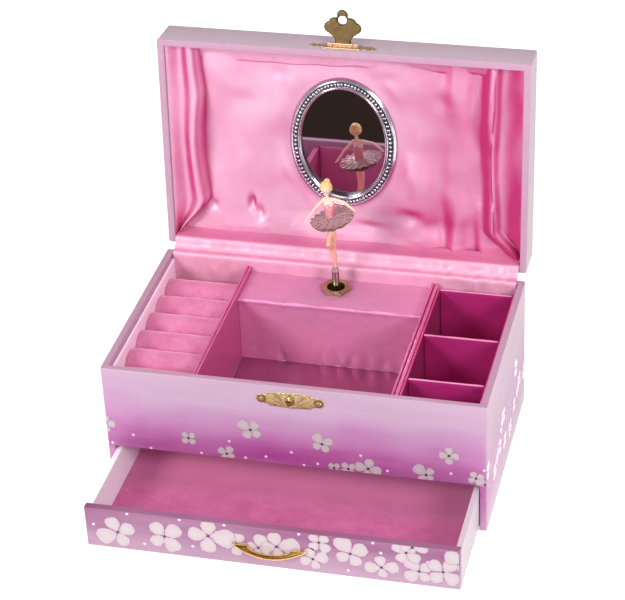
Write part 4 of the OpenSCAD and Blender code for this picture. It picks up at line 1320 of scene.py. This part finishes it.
HEAD = (SPINDLE_X - 3.5, SPINDLE_Y, 145.2)
HEAD_R, HEAD_TALL = 3.4, 4.0
# Each limb is a chain of joints (x, y, z, radius of the stretch that ends there, radius of the next one).
LIMBS = [
    [(0.1, 0, 91.4, 0.85, 0.85), (0.2, 0, 94.5, 0.95, 0.95), (-0.1, 0.2, 99.5, 1.5, 1.5),
     (-0.4, 0, 103.6, 1.3, 1.35), (-0.6, 0, 110, 2.1, 2.1), (-0.8, 0, 116, 2.5, 2.5)],
    [(-1.8, -0.3, 116.5, 2.0, 2.0), (-1.9, -7.0, 111, 1.4, 1.35), (-2.2, -3.4, 107, 1.2, 1.15),
     (-2.6, -0.8, 104.8, 0.8, 0.8), (-2.1, -0.4, 102.6, 0.55, 0.55)],
    [(-1.1, 0, 118.0, 2.8, 2.8), (-1.6, 0, 124, 2.5, 2.5), (-2.0, 0, 131.2, 3.1, 3.2),
     (-2.3, 0, 135.4, 3.1, 3.1)],
    [(-5.2, 0, 137.4, 1.2, 1.2), (1.0, 0, 137.8, 1.2, 1.2)],
    [(-2.6, 0, 137, 1.2, 1.2), (-3.3, -0.1, 141, 1.0, 1.0)],
    [(-5.2, 0, 137.2, 1.15, 1.15), (-10.6, -0.4, 130.8, 0.95, 0.95), (-15.2, -1, 123.6, 0.7, 0.75),
     (-16.8, -1.4, 121.6, 0.5, 0.5)],
    [(1.1, 0, 137.8, 1.1, 1.1), (7.0, -0.6, 136.8, 0.95, 0.95), (12.2, -1, 133.0, 0.7, 0.75),
     (13.4, -1.2, 131.8, 0.5, 0.5)],
]


def dancer_figure():
    parts = [capsule(a[:3], b[:3], a[4], b[3]) for limb in LIMBS for a, b in zip(limb, limb[1:])]
    head = []
    for m in range(14):
        p = math.pi * (m + 0.5) / 14
        z = math.cos(p)
        r = HEAD_R * math.sin(p) * (1 - 0.16 * max(-z, 0))
        head.append([(x, y, HEAD[2] + HEAD_TALL * z) for x, y in oval(r, r * 1.02, 20, *HEAD[:2])])
    parts.append(ring_loft(head))
    nose = (HEAD[0] - SPINDLE_X, HEAD[1] - SPINDLE_Y - HEAD_R, HEAD[2] - 0.3)
    parts.append(capsule(nose, (nose[0], nose[1] - 0.15, nose[2] - 0.5), 0.32, 0.36))
    verts, faces = joined(parts)
    obj = piece("dancer_body", verts, faces, "skin", "dancer", "skin", ["dancer_figure"])
    modify(obj, "REMESH", mode="VOXEL", voxel_size=0.28 * MM)
    modify(obj, "SMOOTH", factor=0.6, iterations=3)
    bake(obj, 180)
    bodice_low, bodice_high, bodice_half, lean = 119, 135.0, 3.9, 2.1
    tones = []
    for v in obj.data.vertices:
        x, _, z = v.co / MM
        across = x - SPINDLE_X + lean
        off = abs(across)
        if z < bodice_low:
            tone = 0.0
        elif off > bodice_half or z > bodice_high + 0.9 * math.cos(across * 1.5):
            tone = 0.5
        else:
            # Painted shade: the bodice darkens towards its left and right sides.
            tone = 0.64 + 0.1 * smooth_step(1.4, 2.8, off)
        tones.append(tone)
    layer = obj.data.attributes.new("tone", "FLOAT", "POINT")
    layer.data.foreach_set("value", tones)


def ball(centre, rx, ry, rz, n=12, m=8):
    rings = []
    for i in range(m):
        p = math.pi * (i + 0.5) / m
        rings.append([(x, y, centre[2] + rz * math.cos(p))
                      for x, y in oval(rx * math.sin(p), ry * math.sin(p), n, *centre[:2])])
    return ring_loft(rings)


def dancer_face():
    """Painted eyes, brows and lips of a plain doll's face."""
    parts, tones = [], []
    x, y, z = HEAD
    eyes = [(side * 1.15, -2.95, 0.25, 0.36, 0.3, 1.0) for side in (-1, 1)]
    brows = [(side * 1.15, -2.86, 0.95, 0.5, 0.1, 1.0) for side in (-1, 1)]
    lips = (0, -2.95, -1.45, 0.5, 0.2, 0.84)
    for dx, dy, dz, rx, rz, tone in [*eyes, *brows, lips]:
        v, f = ball((x + dx, y + dy, z + dz), rx, 0.22, rz)
        parts.append((v, f))
        tones += [tone] * len(v)
    verts, faces = joined(parts)
    piece("dancer_face_paint", verts, faces, "skin", "dancer", "skin", attribute=tones)


def dancer_hair():
    """Cap of combed hair, hidden inside the head where the face is, with a low bun behind the crown."""
    rings = []
    for m in range(24):
        p = math.pi * (m + 0.5) / 24
        ring = []
        for q in range(44):
            t = 2 * math.pi * q / 44
            d = Vector((math.sin(p) * math.cos(t), math.sin(p) * math.sin(t), math.cos(p)))
            face = smooth_step(0.42, 0.54, -d.y * 0.86 - d.z * 0.62) + smooth_step(0.35, 0.6, -d.z)
            scale = 1.10 - 0.17 * min(face, 1) + 0.02 * math.sin(16 * t) * math.sin(p)
            ring.append((HEAD[0] + HEAD_R * scale * d.x, HEAD[1] + HEAD_R * scale * d.y,
                         HEAD[2] + HEAD_TALL * scale * d.z))
        rings.append(ring)
    bun = ball((HEAD[0] + 0.2, HEAD[1] + 2.2, HEAD[2] + 3.4), 1.8, 1.6, 1.4, 20, 10)
    verts, faces = joined([ring_loft(rings), bun])
    piece("dancer_hair_cap", verts, faces, "hair", "dancer", "hair", ["dancer_hair"], sharp=70)


def tutu():
    """Gathered net frills, tilted a little as the dancer leans."""
    centre = (SPINDLE_X - 0.8, SPINDLE_Y, 126.5)
    lean = math.radians(12)
    nets = ((13.2, 1.2, 17, 0.0), (12.7, 2.0, 14, 1.0), (11.8, 2.8, 12, 2.2))
    for k, (outer, drop, waves, phase) in enumerate(nets):
        radii, count = steps(1.7, outer, 0.9), 132

        def surface(i, j, lift):
            r, t = radii[i], 2 * math.pi * j / count
            share = (r - 1.7) / (outer - 1.7)
            edge = 1 + 0.03 * math.sin(waves * t + phase) * share
            ruffle = 0.42 * share ** 1.5 * math.sin(waves * t + phase) + 0.25 * share * math.sin(2 * t + k)
            x, y = r * edge * math.cos(t), r * edge * math.sin(t)
            z = -drop * share ** 1.3 - 0.35 * k + ruffle + lift
            return (centre[0] + x * math.cos(lean) - z * math.sin(lean), centre[1] + y,
                    centre[2] + x * math.sin(lean) + z * math.cos(lean))

        rings = [[surface(i, j, 0.1) for j in range(count)] for i in range(len(radii))]
        rings += [[surface(i, j, -0.1) for j in range(count)] for i in reversed(range(len(radii)))]
        verts, faces = ring_loft(rings, close=True)
        obj = piece("tutu_net_%d" % (k + 1), verts, faces, "tulle", "dancer", "tulle",
                    ["dancer_tutu"] if k == 0 else (), sharp=70)


def coil_and_collar():
    low, high = box_mm("dancer_spring")
    pitch = 0.62
    zs = steps(low[2], high[2], pitch / 4)
    rings = []
    for z in zs:
        ring = []
        for k in range(32):
            t = 2 * math.pi * k / 32
            r = 2.19 + 0.03 * abs(math.sin(math.pi * z / pitch + t / 2))
            ring.append((SPINDLE_X + r * math.cos(t), SPINDLE_Y + r * math.sin(t), z))
        rings.append(ring)
    obj = piece("dancer_coil", *ring_loft(rings), "spring_steel", None, "steel", ["dancer_spring"], sharp=70)
    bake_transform(obj)
    top = high[2]
    profile = [(0.8, -0.2), (2.1, 0), (2.35, 0.5), (2.3, 1.1), (1.9, 1.4), (2.0, 2.0), (1.7, 2.6), (0.8, 2.7)]
    rings = [[(x, y, top + z) for x, y in oval(r, r, 32, SPINDLE_X, SPINDLE_Y)] for r, z in profile]
    piece("dancer_foot_collar", *ring_loft(rings), "clear_pink", "dancer", "skin", sharp=60)


# ---------- Carried CAD nodes ----------

def finish_cad():
    """Gives each CAD node that is shown its material, and rounds the edges of the boards and metal parts."""
    looks = {
        "drawer_paper": "case_base mid_deck drawer_walls drawer_bottom", "drawer_print": "drawer_front",
        "nut_brass": "spindle_ferrule",
        "brass": "case_brass_nails lid_brass_nails drawer_pull_nails hinge_case_leaves hinge_lid_leaves",
        "steel": "hinge_pins hasp_pin comb_block music_comb movement_screws cylinder_axle mainspring spindle "
                 "winding_arbor winding_key",
        "movement_brass": "movement_bedplate axle_brackets spindle_bracket music_cylinder cylinder_gears "
                          "spring_barrel crown_wheel governor_fan",
    }
    rounded = {"drawer_front": 0.6, "drawer_walls": 0.4, "spindle_ferrule": 0.25, "winding_key": 0.2,
               "case_base": 0.3}
    for node, material in [(n, m) for m, nodes in looks.items() for n in nodes.split()]:
        obj = frame["nodes"][node]
        obj.data.materials.clear()
        obj.data.materials.append(MATERIALS[material])
        if node in rounded:
            modify(obj, "BEVEL", width=rounded[node] * MM, segments=3, limit_method="ANGLE",
                   angle_limit=math.radians(40))


# ---------- Studio ----------

def stage_plane(name, size, place, mat):
    mesh = bpy.data.meshes.new(name)
    half_x, half_y = size[0] / 2, size[1] / 2
    corners = [(-half_x, -half_y, 0), (half_x, -half_y, 0), (half_x, half_y, 0), (-half_x, half_y, 0)]
    mesh.from_pydata(corners, [], [(0, 1, 2, 3)])
    obj = bpy.data.objects.new(name, mesh)
    obj.location = place
    mesh.materials.append(mat)
    bpy.context.scene.collection.objects.link(obj)
    return obj


def area_light(name, place, aim, size, power):
    light = bpy.data.lights.new(name, "AREA")
    light.shape = "DISK"
    light.size = size
    light.energy = power
    obj = bpy.data.objects.new(name, light)
    obj.location = place
    obj.rotation_euler = (Vector(aim) - Vector(place)).to_track_quat("-Z", "Y").to_euler()
    bpy.context.scene.collection.objects.link(obj)


def studio():
    scene = bpy.context.scene
    scene.view_settings.view_transform = "Standard"
    world = bpy.data.worlds.new("studio")
    world.use_nodes = True
    world.node_tree.nodes["Background"].inputs[0].default_value = (1, 1, 1, 1)
    world.node_tree.nodes["Background"].inputs[1].default_value = 0.36
    scene.world = world
    white = Surface("floor_white", (0.92, 0.92, 0.92, 1), 0.9, Emission_Color=(1, 1, 1, 1),
                    Emission_Strength=0.5)
    white.rough(white.spread(white.noise(3), 0.3, 0.7, 0.85, 0.9))
    stage_plane("floor", (12, 12), (0, 0, 0), white.mat)
    dark = Surface("card_dark", (0.03, 0.02, 0.016, 1), 0.9, Specular_IOR_Level=0.0)
    dark.rough(dark.spread(dark.noise(3), 0.3, 0.7, 0.9 * 0.95, 0.9))
    card = stage_plane("dark_card", (1.6, 0.85), (0, -0.60, 0.0012), dark.mat)
    card.visible_camera = card.visible_diffuse = card.visible_shadow = card.visible_transmission = False
    area_light("key", (-0.85, -1.15, 0.85), (0, 0, 0.1), 0.5, 14.5)
    area_light("fill", (1.0, -0.8, 0.8), (0, 0, 0.1), 0.5, 10)
    area_light("top", (0.0, 0.02, 1.45), (0, 0, 0.1), 0.9, 6)


def camera():
    azimuth, elevation, roll = math.radians(14.985), math.radians(32.111), math.radians(-2.719)
    ahead = Vector((-math.sin(azimuth) * math.cos(elevation), math.cos(azimuth) * math.cos(elevation),
                    -math.sin(elevation)))
    right = ahead.cross(Vector((0, 0, 1))).normalized()
    up = right.cross(ahead)
    c, s = math.cos(roll), math.sin(roll)
    right, up = right * c + up * s, up * c - right * s
    turn = Matrix((right, up, -ahead)).transposed()
    data = bpy.data.cameras.new("camera")
    data.lens = 127.26
    data.sensor_width = 36
    data.sensor_fit = "HORIZONTAL"
    data.shift_x, data.shift_y = -0.01364, -0.01108
    data.clip_start = 0.01
    obj = bpy.data.objects.new("camera", data)
    obj.matrix_world = Matrix.Translation((0.27845, -1.02924, 0.77366)) @ turn.to_4x4()
    bpy.context.scene.collection.objects.link(obj)
    bpy.context.scene.camera = obj


camera()
studio()
case_shell()
lid_shell()
all_prints()
lid_lining()
hinge_flap()
mirror_frame()
mirror_face()
tray()
felt_liner()
latch_plate()
hasp_plate()
hasp_axis()
hasp_leaf()
drawer_pull()
dancer_figure()
dancer_face()
dancer_hair()
tutu()
coil_and_collar()
finish_cad()
